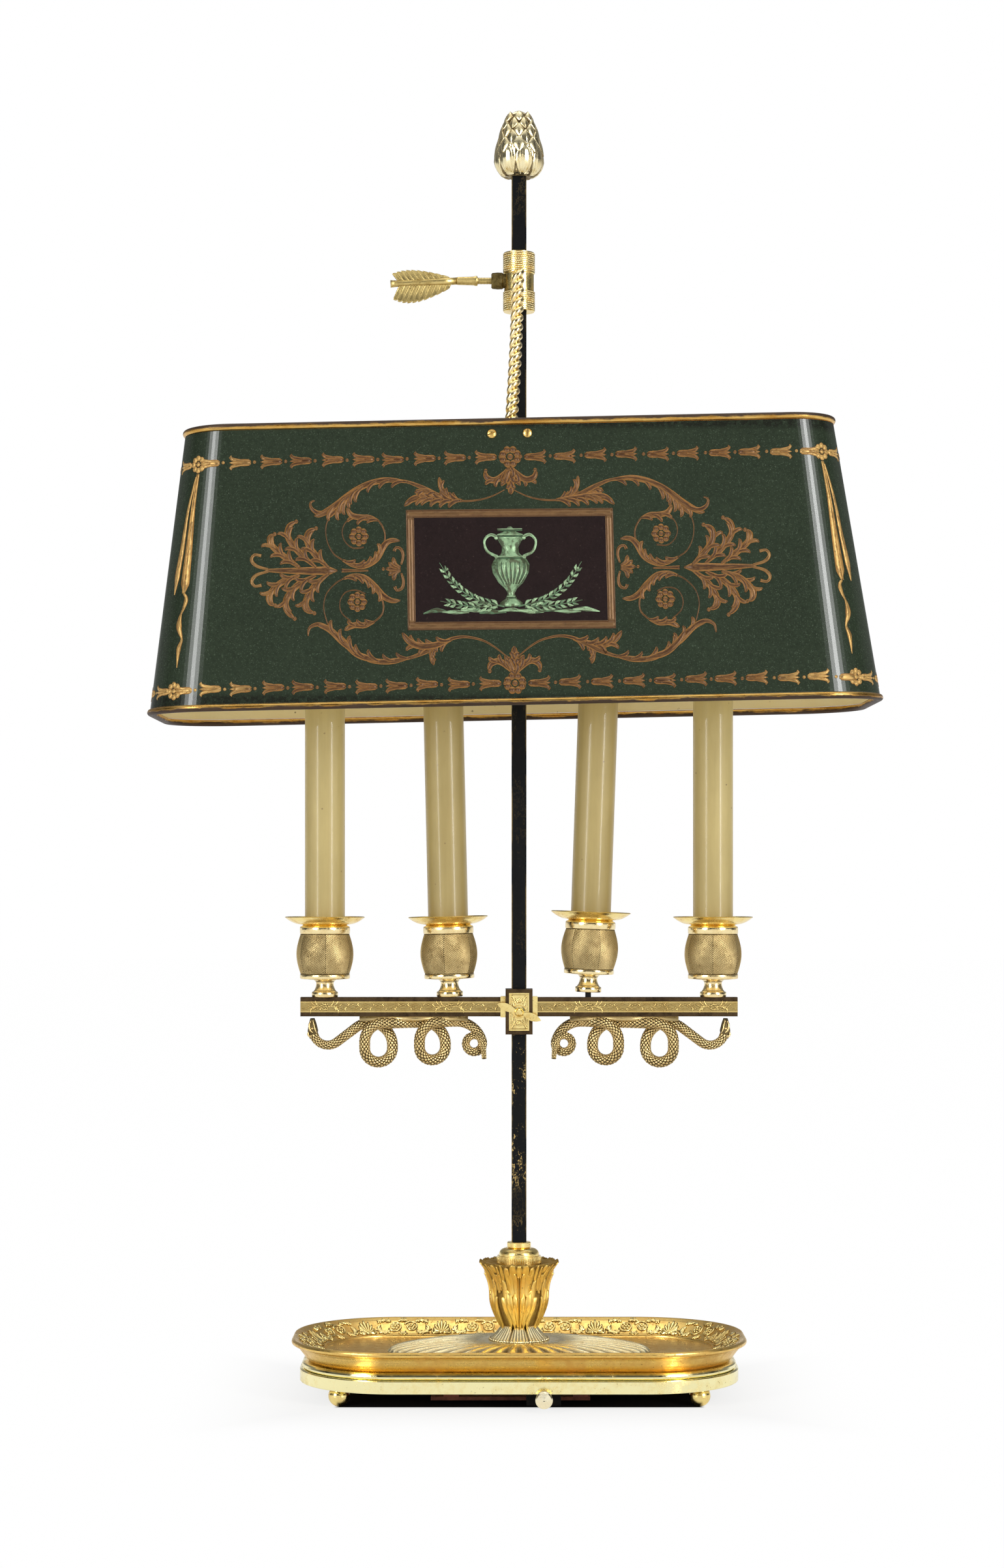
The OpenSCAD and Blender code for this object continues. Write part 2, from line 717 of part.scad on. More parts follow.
module shade_screws() {
  head_r = 2.7;
  color("gold") hang() at_shade_screws() difference() {
    union() {
      translate([0, 0, seat_gap])
        turned(concat([[0, 0], [head_r, 0]],
                      [for (i = [0:5]) let (a = 90 * i / 5) [head_r * cos(a), 0.6 + 1.2 * sin(a)]]));
      translate([0, 0, -shade_t - bracket_t - 3])
        cylinder(d = shade_screw_d, h = shade_t + bracket_t + 3.5);
    }
    translate([0, 0, 1.9]) rotate($slot_angle) cube([3 * head_r, 0.7, 1.4], center = true);
  }
}

module shade_nuts() {
  nut_h = 2;
  color("darkgoldenrod") hang() at_shade_screws()
    translate([0, 0, -shade_t - bracket_t - 2 * seat_gap - nut_h]) difference() {
      cylinder(d = 5.8, h = nut_h, $fn = 6);
      translate([0, 0, -1]) cylinder(d = shade_screw_d + clearance, h = nut_h + 2);
    }
}

// ---- keys ----

module key_pad() {
  color("gold") bar_x(-rod_s / 2 - thread_gap - pad_t, 0, key_z, key_thread_d - 0.2, pad_t);
}

module feather_key() {
  tip = -rod_s / 2 - 2 * thread_gap - pad_t;
  thread_l = 19;
  shaft_l = 12;
  neck = tip - thread_l;
  root = neck - shaft_l;
  vane_t = 1.6;
  pitch = feather_l / (feather_barbs + 1);
  droop = 2.5;
  color([0.55, 0.48, 0.2]) {
    bar_x(neck, 0, key_z, key_thread_d, thread_l);
    translate([neck, 0, key_z]) rotate([0, -90, 0])
      turned([[0, 0], [2.8, 0], [2.8, 1], [2.3, shaft_l], [0, shaft_l + 1]]);
    translate([root, 0, key_z]) rotate([0, -droop, 0]) difference() {
      union() {
        rotate([0, -90, 0])
          turned([[0, 0], [2.2, 0], [1.6, feather_l * 0.8], [2.4, feather_l], [0, feather_l]]);
        // the upper vane is narrow and the lower one hangs wide
        for (side = [-1, 1], i = [0:feather_barbs - 1]) {
          share = side > 0 ? 0.36 : 0.64;
          out = share * feather_h * (0.62 + 0.38 * sin(20 + 130 * i / feather_barbs));
          translate([-i * pitch, vane_t / 2, 0]) rotate([90, 0, 0]) linear_extrude(vane_t)
            polygon([[1, 0], [-pitch * 1.1, 0], [-pitch * 2.1, side * out * 0.96],
                     [-pitch * 1.6, side * out], [-pitch * 0.6, side * out * 0.8]]);
        }
      }
      translate([-feather_l, 0, 0]) rotate([0, 45, 0]) cube([3, 8, 3], center = true);
    }
  }
}

module wing_pad() {
  color("gold") bar_y(0, -rod_s / 2 - thread_gap - pad_t, wing_z, wing_thread_d - 0.2, pad_t);
}

module wing_screw() {
  tip = -rod_s / 2 - 2 * thread_gap - pad_t;
  hub_y = -block_d / 2 - plaque_t - 2;
  hub_l = 4.5;
  hub_r = 3.9;
  lens_l = wing_span / 2 - 2;
  lens_w = 4.6;
  lens_r = (lens_l * lens_l + lens_w * lens_w) / (4 * lens_w);
  color("gold") {
    bar_y(0, hub_y, wing_z, wing_thread_d, tip - hub_y);
    translate([0, hub_y, wing_z]) rotate([90, 0, 0]) {
      turned([[0, 0], [hub_r - 0.6, 0], [hub_r, 0.6], [hub_r, 1.8], [hub_r - 1.2, 2.6],
              [hub_r - 1.8, hub_l - 0.6], [hub_r - 2.4, hub_l], [0, hub_l]]);
      rotate(-21) for (side = [0, 180]) rotate(side)
        translate([2 + lens_l / 2, 0, 1]) linear_extrude(1.8) intersection() {
          translate([0, lens_r - lens_w / 2]) circle(lens_r);
          translate([0, lens_w / 2 - lens_r]) circle(lens_r);
        }
    }
  }
}

// ---- arms ----

module slider_block() {
  color([0.15, 0.13, 0.12]) difference() {
    translate([-block_w / 2, -block_d / 2, block_z]) cube([block_w, block_d, block_h]);
    translate([-bore_s / 2, -bore_s / 2, block_z - 1]) cube([bore_s, bore_s, block_h + 2]);
    bar_y(0, -block_d, wing_z, wing_thread_d + 2 * thread_gap, block_d);
  }
}

module block_plaque() {
  w = block_w - 4.2;
  h = block_h - 4.6;
  color("gold") translate([0, -block_d / 2, wing_z]) rotate([90, 0, 0]) difference() {
    union() {
      translate([-w / 2, -h / 2, 0]) cube([w, h, plaque_t / 2]);
      linear_extrude(plaque_t) difference() {
        square([w, h], center = true);
        square([w - 1.6, h - 1.6], center = true);
      }
      intersection() {
        translate([-w / 2, -h / 2, 0]) cube([w, h, plaque_t]);
        for (side = [-1, 1]) rotate(side * atan(h / w))
          cube([norm([w, h]), 1.2, 2 * plaque_t], center = true);
      }
      cylinder(d = 8.5, h = plaque_t);
    }
    translate([0, 0, -1]) cylinder(d = wing_thread_d + 2 * clearance, h = 4);
  }
}

module end_blocks() {
  color("gold") for (side = [0, 1]) mirror([side, 0, 0])
    translate([block_w / 2, -bar_t / 2 - 0.6, bar_z - 0.5])
      cube([end_block_w, bar_t + 1.2, bar_h + 1]);
}

module arm_bar(side) {
  x0 = block_w / 2 + end_block_w;
  color([0.16, 0.14, 0.12]) scale_x(side) difference() {
    translate([x0, -bar_t / 2, bar_z]) cube([bar_w / 2 - x0, bar_t, bar_h]);
    for (x = [inner_x, outer_x])
      translate([x, 0, bar_z - 1]) cylinder(d = stud_d + 2 * thread_gap, h = bar_h + 2);
  }
}

module scale_x(side) {
  if (side < 0) mirror([1, 0, 0]) children();
  else children();
}

module arm_bar_left() {
  arm_bar(-1);
}

module arm_bar_right() {
  arm_bar(1);
}

// Chased strips along the front and back of one arm, with a flower boss under each candle
module frieze(side) {
  x0 = block_w / 2 + end_block_w;
  l = bar_w / 2 - x0;
  h = bar_h * 0.56;
  color("gold") scale_x(side) for (face = [0, 1]) mirror([0, face, 0]) {
    translate([x0, -bar_t / 2 - frieze_t / 2, bar_z + (bar_h - h) / 2]) cube([l, frieze_t / 2, h]);
    for (z = [bar_z + (bar_h - h) / 2, bar_z + (bar_h + h) / 2 - 0.7])
      translate([x0, -bar_t / 2 - frieze_t, z]) cube([l, frieze_t, 0.7]);
    for (x = [inner_x, outer_x]) bar_y(x, -bar_t / 2 - frieze_t, bar_z + bar_h / 2, h * 0.7, frieze_t);
  }
}

module frieze_left() {
  frieze(-1);
}

module frieze_right() {
  frieze(1);
}

// The serpent is drawn like a turtle's walk: each move is a length, a turn and a side step at its end
serpent_start = [-124, -1.2];
serpent_heading = -88;
serpent_side = 3.2;
serpent_moves = [
  [7.5, 0, 0], [19.6, 125, 0], [14.5, 0, 1], [30, -127, 1], [1.7, 0, 1], [25.8, -180, -1],
  [4, 0, -1], [18, -90, -1], [4, 0, -1], [15.8, 0, 1], [4, 0, 1], [20.4, -90, 1], [1.7, 0, 1],
  [24.2, -180, -1], [3.5, 0, -1], [18.4, -90, -1], [10.5, 0, 0.8], [20.9, -75, 0.8], [14, -160, 0],
  [14.8, -170, -0.8], [4.2, -40, -0.8], [9, 0, -0.6]];

// Points of one move with even steps: [x, z, heading, side]
function walk_move(p, m, step) =
  let (n = max(1, round(m[0] / step)), d = m[0] / n, w = m[1] / n)
  [for (i = 1, q = stride(p, d, w, p[3] + (m[2] - p[3]) * ease(1 / n)); i <= n;
        i = i + 1, q = stride(q, d, w, p[3] + (m[2] - p[3]) * ease(min(1, i / n)))) q];
function stride(p, d, w, side) =
  let (h = p[2] + w / 2) [p[0] + d * cos(h), p[1] + d * sin(h), p[2] + w, side];
function walk(p, moves, step, k = 0) =
  k == len(moves) ? [p]
  : let (part = walk_move(p, moves[k], step)) concat([p], walk_rest(part, moves, step, k));
function walk_rest(part, moves, step, k) =
  let (last = part[len(part) - 1])
  concat([for (i = [0:1:len(part) - 2]) part[i]], walk(last, moves, step, k + 1));

module serpent(side) {
  r = serpent_d / 2;
  step = 2.6;
  strip_l = 65;
  strip_t = 2.9;
  walked = walk([serpent_start[0], serpent_start[1], serpent_heading, 0], serpent_moves, step);
  n = len(walked);
  path = [for (p = walked) [p[0], serpent_side * p[3], bar_z + p[1]]];
  body = [[0, 0.45], [0.012, 0.8], [0.028, 1.1], [0.045, 0.75], [0.1, 0.85], [0.25, 1], [0.72, 1],
          [0.86, 0.82], [0.95, 0.6], [1, 0.3]];
  color([0.8, 0.68, 0.35]) scale_x(-side) {
    rope(path, [for (i = [0:n - 1]) r * lookup(i / (n - 1), body)]);
    translate([-95.6, -bar_t / 2, bar_z - strip_t]) cube([strip_l, bar_t, strip_t]);
  }
}

module serpent_left() {
  serpent(-1);
}

module serpent_right() {
  serpent(1);
}

module cup_studs() {
  color([0.2, 0.18, 0.15]) for (x = candle_x)
    translate([x, 0, bar_z + 0.5]) cylinder(d = stud_d, h = bar_h + stud_up - 1);
}

// ---- candles ----

// Stands a candle's pieces on the arm, with the lean that the candle has
module at_candle(i) {
  translate([candle_x[i], 0, cup_z + candle_lift[i]]) rotate([0, candle_lean[i], 0]) children();
}

module candle_cup(i) {
  foot_r = 7.85;
  neck_r = 5.2;
  ring_z = 10.9;
  barrel_z = 13.8;
  top_z = cup_h - 5.7;
  belly = 2.3;
  end_r = barrel_d / 2 - belly;
  foot = [[foot_r - 0.4, 0], [foot_r, 0.4], [foot_r, 2.9], [foot_r - 0.4, 3.3], [foot_r - 0.9, 3.4]];
  neck = [for (k = [1:5]) let (t = k / 6) [neck_r + 1.7 * pow(1 - t, 2.5), 3.4 + 5.6 * t]];
  barrel = [for (k = [0:10]) let (t = k / 10)
    [end_r + belly * sin(180 * t), barrel_z + (top_z - barrel_z) * t]];
  color([0.78, 0.62, 0.3]) at_candle(i) difference() {
    turned(concat([[0, 0]], foot, neck,
      [[neck_r + 0.2, 9.2], [neck_r + 1.5, 10.4], [end_r - 0.6, ring_z], [end_r - 0.1, ring_z + 0.4],
       [end_r - 0.1, barrel_z - 0.2]],
      barrel,
      [[end_r, top_z + 0.3], [end_r, top_z + 4], [end_r - 0.5, top_z + 4.6], [end_r - 1.6, top_z + 4.9],
       [end_r - 1.9, cup_h], [0, cup_h]]));
    translate([0, 0, cup_floor]) cylinder(r = bore_r, h = cup_h);
    translate([0, 0, -1]) cylinder(d = stud_d + 2 * stud_play, h = stud_up + 2);
  }
}

module drip_pan(i) {
  r = pan_d / 2;
  seat_r = bore_r + 1.6;
  n = 8;
  dish = [for (k = [0:n]) let (t = k / n) [seat_r + (r - 0.4 - seat_r) * t, 4 * pow(t, 2)]];
  color([0.85, 0.65, 0.3]) at_candle(i) translate([0, 0, cup_h])
    turned(concat([[bore_r, 0]], dish, [[r, 4.3], [r - 0.3, 4.7]],
                  [for (k = [n:-1:0]) [dish[k][0] - 0.2 * k / n - 0.4, dish[k][1] + pan_t * 0.8]],
                  [[bore_r, pan_t * 0.8]]));
}

module candle_sleeve(i) {
  color([0.93, 0.89, 0.7]) at_candle(i) translate([0, 0, cup_floor]) difference() {
    cylinder(d = sleeve_d, h = sleeve_h);
    translate([0, 0, -1]) cylinder(d = sleeve_d - 2 * sleeve_wall, h = sleeve_h + 2);
  }
}

module lampholders() {
  r = sleeve_d / 2 - sleeve_wall - clearance;
  body_h = 34;
  color([0.9, 0.88, 0.8]) for (i = [0:3])
    at_candle(i) translate([0, 0, cup_floor]) difference() {
      union() {
        cylinder(r = 4, h = sleeve_h - 10);
        translate([0, 0, sleeve_h - body_h]) cylinder(r = r, h = body_h);
      }
      translate([0, 0, sleeve_h - 26]) cylinder(d = cap_d + 2 * clearance, h = 40);
    }
}

module bulb(i) {
  r = bulb_d / 2;
  n = 14;
  glass = [for (k = [1:n]) let (t = k / n)
    [max(cap_d / 2 - 0.4 - 2 * t, r * pow(sin(180 * pow(t, 0.62)), 1.25)), bulb_h * t]];
  color([0.95, 0.95, 0.9]) at_candle(i) translate([0, 0, cup_floor + sleeve_h])
    turned(concat([[0, -25], [4, -25], [cap_d / 2, -22], [cap_d / 2, 0]], [for (k = [0:n - 2]) glass[k]],
                  [[1, bulb_h - 0.6], [0, bulb_h]]));
}

module candle_cup_1() { candle_cup(0); }
module candle_cup_2() { candle_cup(1); }
module candle_cup_3() { candle_cup(2); }
module candle_cup_4() { candle_cup(3); }
module drip_pan_1() { drip_pan(0); }
module drip_pan_2() { drip_pan(1); }
module drip_pan_3() { drip_pan(2); }
module drip_pan_4() { drip_pan(3); }
module candle_sleeve_1() { candle_sleeve(0); }
module candle_sleeve_2() { candle_sleeve(1); }
module candle_sleeve_3() { candle_sleeve(2); }
module candle_sleeve_4() { candle_sleeve(3); }
module bulb_1() { bulb(0); }
module bulb_2() { bulb(1); }
module bulb_3() { bulb(2); }
module bulb_4() { bulb(3); }

ball_feet();
plinth_band();
tray();
tray_screws();
gadrooned_mound();
leaf_skirt();
leaf_vase();
knurled_ring();
dome_nut();
stem_collar();
rod();
tie_nut();
finial();
cover_blocks();
cover_board();
cover_screws();
switch_body();
switch_knob();
shade_collar();
key_boss();
twisted_arm();
shade_bracket();
shade_shell();
top_bead();
bottom_bead();
shade_screws();
shade_nuts();
key_pad();
feather_key();
slider_block();
block_plaque();
end_blocks();
arm_bar_left();
arm_bar_right();
frieze_left();
frieze_right();
serpent_left();
serpent_right();
cup_studs();
wing_pad();
wing_screw();
candle_cup_1();
candle_cup_2();
candle_cup_3();
candle_cup_4();
drip_pan_1();
drip_pan_2();
drip_pan_3();
drip_pan_4();
candle_sleeve_1();
candle_sleeve_2();
candle_sleeve_3();
candle_sleeve_4();
lampholders();
bulb_1();
bulb_2();
bulb_3();
bulb_4();
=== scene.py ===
import json
import random
from math import atan, atan2, cos, dist, hypot, pi, radians, sin, sqrt

import bpy
from mathutils import Matrix, Vector


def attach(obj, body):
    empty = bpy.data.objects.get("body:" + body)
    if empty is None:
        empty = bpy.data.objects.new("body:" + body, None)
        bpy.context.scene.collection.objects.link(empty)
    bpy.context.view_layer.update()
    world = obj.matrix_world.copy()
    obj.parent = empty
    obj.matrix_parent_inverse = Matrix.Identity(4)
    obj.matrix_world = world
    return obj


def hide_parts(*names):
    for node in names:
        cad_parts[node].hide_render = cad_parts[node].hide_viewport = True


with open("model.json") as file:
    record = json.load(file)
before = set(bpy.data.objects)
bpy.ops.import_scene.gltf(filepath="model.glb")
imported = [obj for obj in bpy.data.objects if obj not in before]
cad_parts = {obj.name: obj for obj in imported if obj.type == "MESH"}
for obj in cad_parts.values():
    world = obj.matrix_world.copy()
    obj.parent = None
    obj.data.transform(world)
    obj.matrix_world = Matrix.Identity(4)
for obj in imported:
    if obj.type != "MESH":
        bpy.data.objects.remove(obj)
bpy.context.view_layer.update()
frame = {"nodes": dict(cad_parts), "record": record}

nodes = frame["nodes"]
mm = 0.001
print("frame loaded:", len(nodes), "nodes")


class Wire:  # one socket of a tree; sums and products on it add Math nodes
    def __init__(self, paint, socket):
        self.paint, self.socket = paint, socket

    def math(self, operation, *others):
        return self.paint.node("ShaderNodeMath", {"operation": operation}, dict(enumerate((self,) + others)))

    def __add__(self, other):
        return self.math("ADD", other)

    def __radd__(self, other):
        return self.math("ADD", other)

    def __sub__(self, other):
        return self.math("SUBTRACT", other)

    def __rsub__(self, other):
        return (-self) + other

    def __mul__(self, other):
        return self.math("MULTIPLY", other)

    def __rmul__(self, other):
        return self.math("MULTIPLY", other)

    def __truediv__(self, other):
        return self.math("DIVIDE", other)

    def __neg__(self):
        return self.math("MULTIPLY", -1.0)

    def low(self, other):
        return self.math("MINIMUM", other)

    def high(self, other):
        return self.math("MAXIMUM", other)

    def size(self):
        return self.math("ABSOLUTE")

    def ramp(self, start, end, low=0.0, high=1.0):  # smooth step from low to high
        settings = {"interpolation_type": "SMOOTHSTEP", "clamp": True}
        ends = {"Value": self, "From Min": start, "From Max": end, "To Min": low, "To Max": high}
        return self.paint.node("ShaderNodeMapRange", settings, ends)


class Paint:  # builds one material
    def __init__(self, name):
        self.material = bpy.data.materials.new(name)
        self.material.use_nodes = True
        self.tree = self.material.node_tree
        self.tree.nodes.clear()

    def node(self, kind, settings=None, inputs=None, out=0):
        made = self.tree.nodes.new(kind)
        for key, value in (settings or {}).items():
            setattr(made, key, value)
        for key, value in (inputs or {}).items():
            if isinstance(value, Wire):
                self.tree.links.new(value.socket, made.inputs[key])
            else:
                made.inputs[key].default_value = value
        return Wire(self, made.outputs[out]) if len(made.outputs) else None

    def place(self, centre=(0, 0, 0), turn=(0, 0, 0), stretch=(1, 1, 1)):  # object coordinates about a centre
        at = self.node("ShaderNodeTexCoord", out="Object")
        moved = self.node("ShaderNodeVectorMath", {"operation": "SUBTRACT"}, {0: at, 1: centre})
        return self.node("ShaderNodeMapping", inputs={"Vector": moved, "Rotation": turn, "Scale": stretch})

    def axes(self, vector):
        return [self.node("ShaderNodeSeparateXYZ", inputs={0: vector}, out=i) for i in range(3)]

    def noise(self, vector, grain, detail=2.0, rough=0.5):  # grain is the size of a spot in metres
        inputs = {"Vector": vector, "Scale": 1.0 / grain, "Detail": detail, "Roughness": rough}
        return self.node("ShaderNodeTexNoise", {"noise_dimensions": "3D"}, inputs)

    def spots(self, vector, grain, full, edge):  # round spots, white inside full and gone past edge
        cells = self.node("ShaderNodeTexVoronoi", {"feature": "F1"}, {"Vector": vector, "Scale": 1.0 / grain},
                          out="Distance")
        return cells.ramp(full, edge, 1, 0)

    def mix(self, share, low, high):
        low, high = (c if isinstance(c, Wire) else (*c, 1.0) for c in (low, high))
        return self.node("ShaderNodeMix", {"data_type": "RGBA"}, {0: share, 6: low, 7: high}, out=2)

    def attribute(self, name):
        return self.node("ShaderNodeAttribute", {"attribute_name": name}, out="Fac")

    def ray(self, name):
        return self.node("ShaderNodeLightPath", out=name)

    def seen(self):  # 1 for rays that look, reflect or pass through, 0 for light
        return self.ray("Is Camera Ray").high(self.ray("Is Glossy Ray")).high(self.ray("Is Transmission Ray"))

    def surface(self, height, depth, strength, **sockets):  # the height makes a bump of that depth in metres
        names = {"baseColor": "Base Color", "coatIor": "Coat IOR", "coatRoughness": "Coat Roughness",
                 "coatWeight": "Coat Weight", "metallic": "Metallic", "roughness": "Roughness",
                 "specular": "Specular IOR Level"}
        bump = self.node("ShaderNodeBump", inputs={"Height": height, "Distance": depth, "Strength": strength})
        shader = self.node("ShaderNodeBsdfPrincipled", inputs={names[k]: v for k, v in sockets.items()})
        self.tree.links.new(bump.socket, shader.socket.node.inputs["Normal"])
        self.node("ShaderNodeOutputMaterial", inputs={"Surface": shader})
        return self.material


def lin(r, g, b):  # a colour written as 0 to 255 in a picture editor
    return tuple(c / 12.92 if c <= 0.04045 else ((c + 0.055) / 1.055) ** 2.4
                 for c in (r / 255, g / 255, b / 255))


cameraPlace = {"x": -0.0102, "distance": 1.8, "height": 0.3, "lens": 68.8, "shiftY": 0.0694}
lightLevel = {"room": 0.46, "backdrop": 0.22, "ceiling": 0.9, "behind": 0.85, "strips": 5.0}
lamps = {  # place, size and power
    "keyLamp": ((-1.65, -1.84, 1.15), (0.3, 1.9), 20.0),
    "fillLamp": ((1.65, -1.84, 1.15), (0.28, 1.9), 29.0),
    "topLamp": ((0.1, 0.3, 2.4), (1.6, 1.2), 7.0)}
lampTarget = Vector((0, 0, 0.4))
# the area under the base where the floor is painted as shadow, the width of its edge, and how far the faint
# painted shade spreads round it
shadowFootprint = {"x": 0.107, "front": -0.0535, "back": 0.06, "edge": 0.002, "soft": 0.11}


def link(name, data):
    made = bpy.data.objects.new(name, data)
    bpy.context.collection.objects.link(made)
    return made


camera = bpy.data.cameras.new("camera")
cameraObject = link("camera", camera)
cameraObject.location = (cameraPlace["x"], -cameraPlace["distance"], cameraPlace["height"])
cameraObject.rotation_euler = (pi / 2, 0, 0)
camera.lens, camera.sensor_width, camera.shift_y = cameraPlace["lens"], 36, cameraPlace["shiftY"]
camera.clip_start, camera.clip_end = 0.05, 60
bpy.context.scene.camera = cameraObject
bpy.context.scene.view_settings.view_transform = "Standard"

for name, (place, size, power) in lamps.items():
    lamp = bpy.data.lights.new(name, "AREA")
    lamp.shape, lamp.size, lamp.size_y = "RECTANGLE", *size
    lamp.energy = power
    holder = link(name, lamp)
    holder.location = place
    holder.rotation_euler = (lampTarget - Vector(place)).to_track_quat("-Z", "Y").to_euler()


class Room(Paint):  # the world's tree, with the same helpers
    def __init__(self):
        world = bpy.data.worlds.new("studio")
        bpy.context.scene.world = world
        world.use_nodes = True
        self.tree = world.node_tree
        self.tree.nodes.clear()

    def light(self, strength):
        return self.node("ShaderNodeBackground", inputs={"Color": (1, 1, 1, 1), "Strength": strength})


# Reflections show light and dark panels round the camera, two strips, a grey backdrop and a ceiling
room = Room()
toward = room.axes(room.node("ShaderNodeTexCoord", out="Generated"))
azimuth, front, high = toward[0].math("ARCTAN2", -toward[1]), toward[1], toward[2]
panels = (azimuth * 5).math("COSINE").ramp(-0.35, 0.55, 0.05, 0.95) * high.ramp(0.02, 0.2, 1, 0.1)
backdrop = front.ramp(0.0, 0.5, 0, lightLevel["backdrop"])
ceiling = high.ramp(0.64, 0.88, 0, lightLevel["ceiling"])
behind = front.ramp(0.88, 0.98, 0, lightLevel["behind"]) * high.size().ramp(0.12, 0.22, 1, 0)
strips = (azimuth.size() - 0.74).size().ramp(0.1, 0.24, lightLevel["strips"], 0) * high.ramp(-0.05, 0.1)
strips = strips * high.ramp(0.45, 0.65, 1, 0)
mirrored = room.ray("Is Glossy Ray")
whiteness = 1 - mirrored * (1 - panels.high(backdrop).high(ceiling).high(behind).high(strips))
sky = {0: room.seen(), 1: room.light(lightLevel["room"]), 2: room.light(whiteness)}
room.node("ShaderNodeOutputWorld", inputs={"Surface": room.node("ShaderNodeMixShader", inputs=sky)})

floorMesh = bpy.data.meshes.new("floor")
floorMesh.from_pydata([(-8, -6, 0), (8, -6, 0), (8, 12, 0), (-8, 12, 0)], [], [(0, 1, 2, 3)])
floor = link("floor", floorMesh)
floorPaint = Paint("paleFloor")
x, y = floorPaint.axes(floorPaint.place())[:2]
# painted shadow: the floor is painted near black under the base, and its glow is dimmed round the base as a
# faint painted shade
beyond = (x.size() - shadowFootprint["x"]).high(shadowFootprint["front"] - y).high(y - shadowFootprint["back"])
under = beyond.ramp(-shadowFootprint["edge"], shadowFootprint["edge"], 1, 0)
paintedShadeNear = beyond.ramp(0.0, shadowFootprint["soft"], 1, 0)
glow = floorPaint.node("ShaderNodeEmission",
                       inputs={"Color": (1, 1, 1, 1), "Strength": 1.0 - paintedShadeNear * paintedShadeNear * 0.08})
# the near black colour is the painted shadow under the base
floorColour = floorPaint.mix(under, (0.93, 0.93, 0.92), (0.012, 0.012, 0.013))
matt = floorPaint.node("ShaderNodeBsdfDiffuse", inputs={"Color": floorColour, "Roughness": 0.5})
glowShare = floorPaint.seen() * (1 - floorPaint.ray("Is Glossy Ray") * 0.35)
glowShare = glowShare * (0.995 - paintedShadeNear * 0.12) * (1 - under)
floorShader = floorPaint.node("ShaderNodeMixShader", inputs={0: glowShare, 1: matt, 2: glow})
floorPaint.node("ShaderNodeOutputMaterial", inputs={"Surface": floorShader})
floorMesh.materials.append(floorPaint.material)
print("stage ready")


metals = {  # bright, deep and dark colour, then what differs from the usual values
    "giltBrass": ((255, 232, 156), (236, 192, 102), (84, 60, 24), dict(tarnish=0.7)),
    "giltRelief": ((255, 232, 156), (236, 192, 102), (84, 60, 24), dict(rough=0.24, hollowShadeAndPatina=(0.35, 1.0))),
    "creamGilt": ((255, 242, 196), (250, 218, 148), (92, 66, 28),
                  dict(rough=0.22, tarnish=0.55, hollowShadeAndPatina=(0.25, 0.85))),
    "chasedGilt": ((232, 204, 132), (190, 154, 84), (36, 25, 12), dict(rough=0.26, hollowShadeAndPatina=(0.1, 0.7))),
    "brightGilt": ((255, 246, 190), (250, 222, 138), (110, 80, 36), dict(rough=0.14)),
    "satinGilt": ((242, 204, 118), (206, 160, 85), (84, 58, 24), dict(rough=0.3, tarnish=0.7)),
    "deepGilt": ((255, 222, 126), (240, 190, 94), (92, 60, 22),
                 dict(rough=0.36, tarnish=0.6, hollowShadeAndPatina=(0.35, 1.0))),
    "antiqueGilt": ((226, 200, 142), (176, 146, 90), (22, 16, 9),
                    dict(rough=0.28, tarnish=0.4, specks=0.35, hollowShadeAndPatina=(0.15, 0.75))),
    "knurledGilt": ((226, 200, 142), (176, 146, 90), (22, 16, 9),
                    dict(rough=0.4, tarnish=0.3, specks=0.3, hollowShadeAndPatina=(0.1, 0.62))),
    "paleGilt": ((254, 234, 180), (230, 190, 116), (70, 50, 24), dict(rough=0.18, hollowShadeAndPatina=(0.35, 1.0))),
    "polishedBrass": ((255, 246, 214), (250, 226, 172), (110, 84, 44),
                      dict(rough=0.12, tarnish=0.3, specks=0.0, scratches=0.2)),
    "plainBrass": ((232, 194, 116), (186, 142, 70), (80, 58, 28),
                   dict(rough=0.3, tarnish=0.7, scratches=0.5)),
    "oliveBrass": ((222, 198, 130), (146, 122, 68), (46, 36, 16),
                   dict(rough=0.34, tarnish=0.8, specks=0.7, hollowShadeAndPatina=(0.35, 1.0))),
    "darkBronze": ((92, 74, 52), (44, 34, 26), (18, 14, 12), dict(rough=0.36, tarnish=0.9, specks=0.4))}


def metalPaint(name, bright, deep, dark, rough=0.2, tarnish=0.5, specks=0.5, scratches=0.25, hollowShadeAndPatina=None):
    paint = Paint(name)
    at = paint.place()
    clouds, small, fine = (paint.noise(at, *grain)
                           for grain in ((0.035, 4, 0.6), (0.005, 5, 0.65), (0.0009, 3, 0.6)))
    dull = (clouds * 0.45 + small * 0.55).ramp(0.42, 0.66)
    speck = paint.spots(at, 0.0022, 0.1, 0.24) * small.ramp(0.47, 0.6)
    hair = paint.noise(paint.place(turn=(0.5, 0.3, 0.9), stretch=(1, 0.04, 1)), 0.0012, 2, 0.5)
    colour = paint.mix(dull * tarnish, lin(*bright), lin(*deep))
    colour = paint.mix(speck * specks, colour, lin(*dark))
    gloss = dull * 0.22 + fine * 0.12 + speck * 0.3 + (hair * scratches) * 0.25 + (rough - 0.12)
    if hollowShadeAndPatina:  # hollows are painted dark, as patina and as painted shade; the pair says how deep the dark begins and is full
        hollow = (1 - paint.attribute("crest")).ramp(*hollowShadeAndPatina) * small.ramp(0.2, 0.7, 0.75, 1.0)
        colour = paint.mix(hollow * 0.85, colour, lin(*dark))
        gloss = gloss + hollow * 0.35
    height = fine * 0.35 + hair * scratches - speck * 0.4 + small * 0.5
    return paint.surface(height, 0.00012, 0.55, baseColor=colour, metallic=1.0, roughness=gloss)


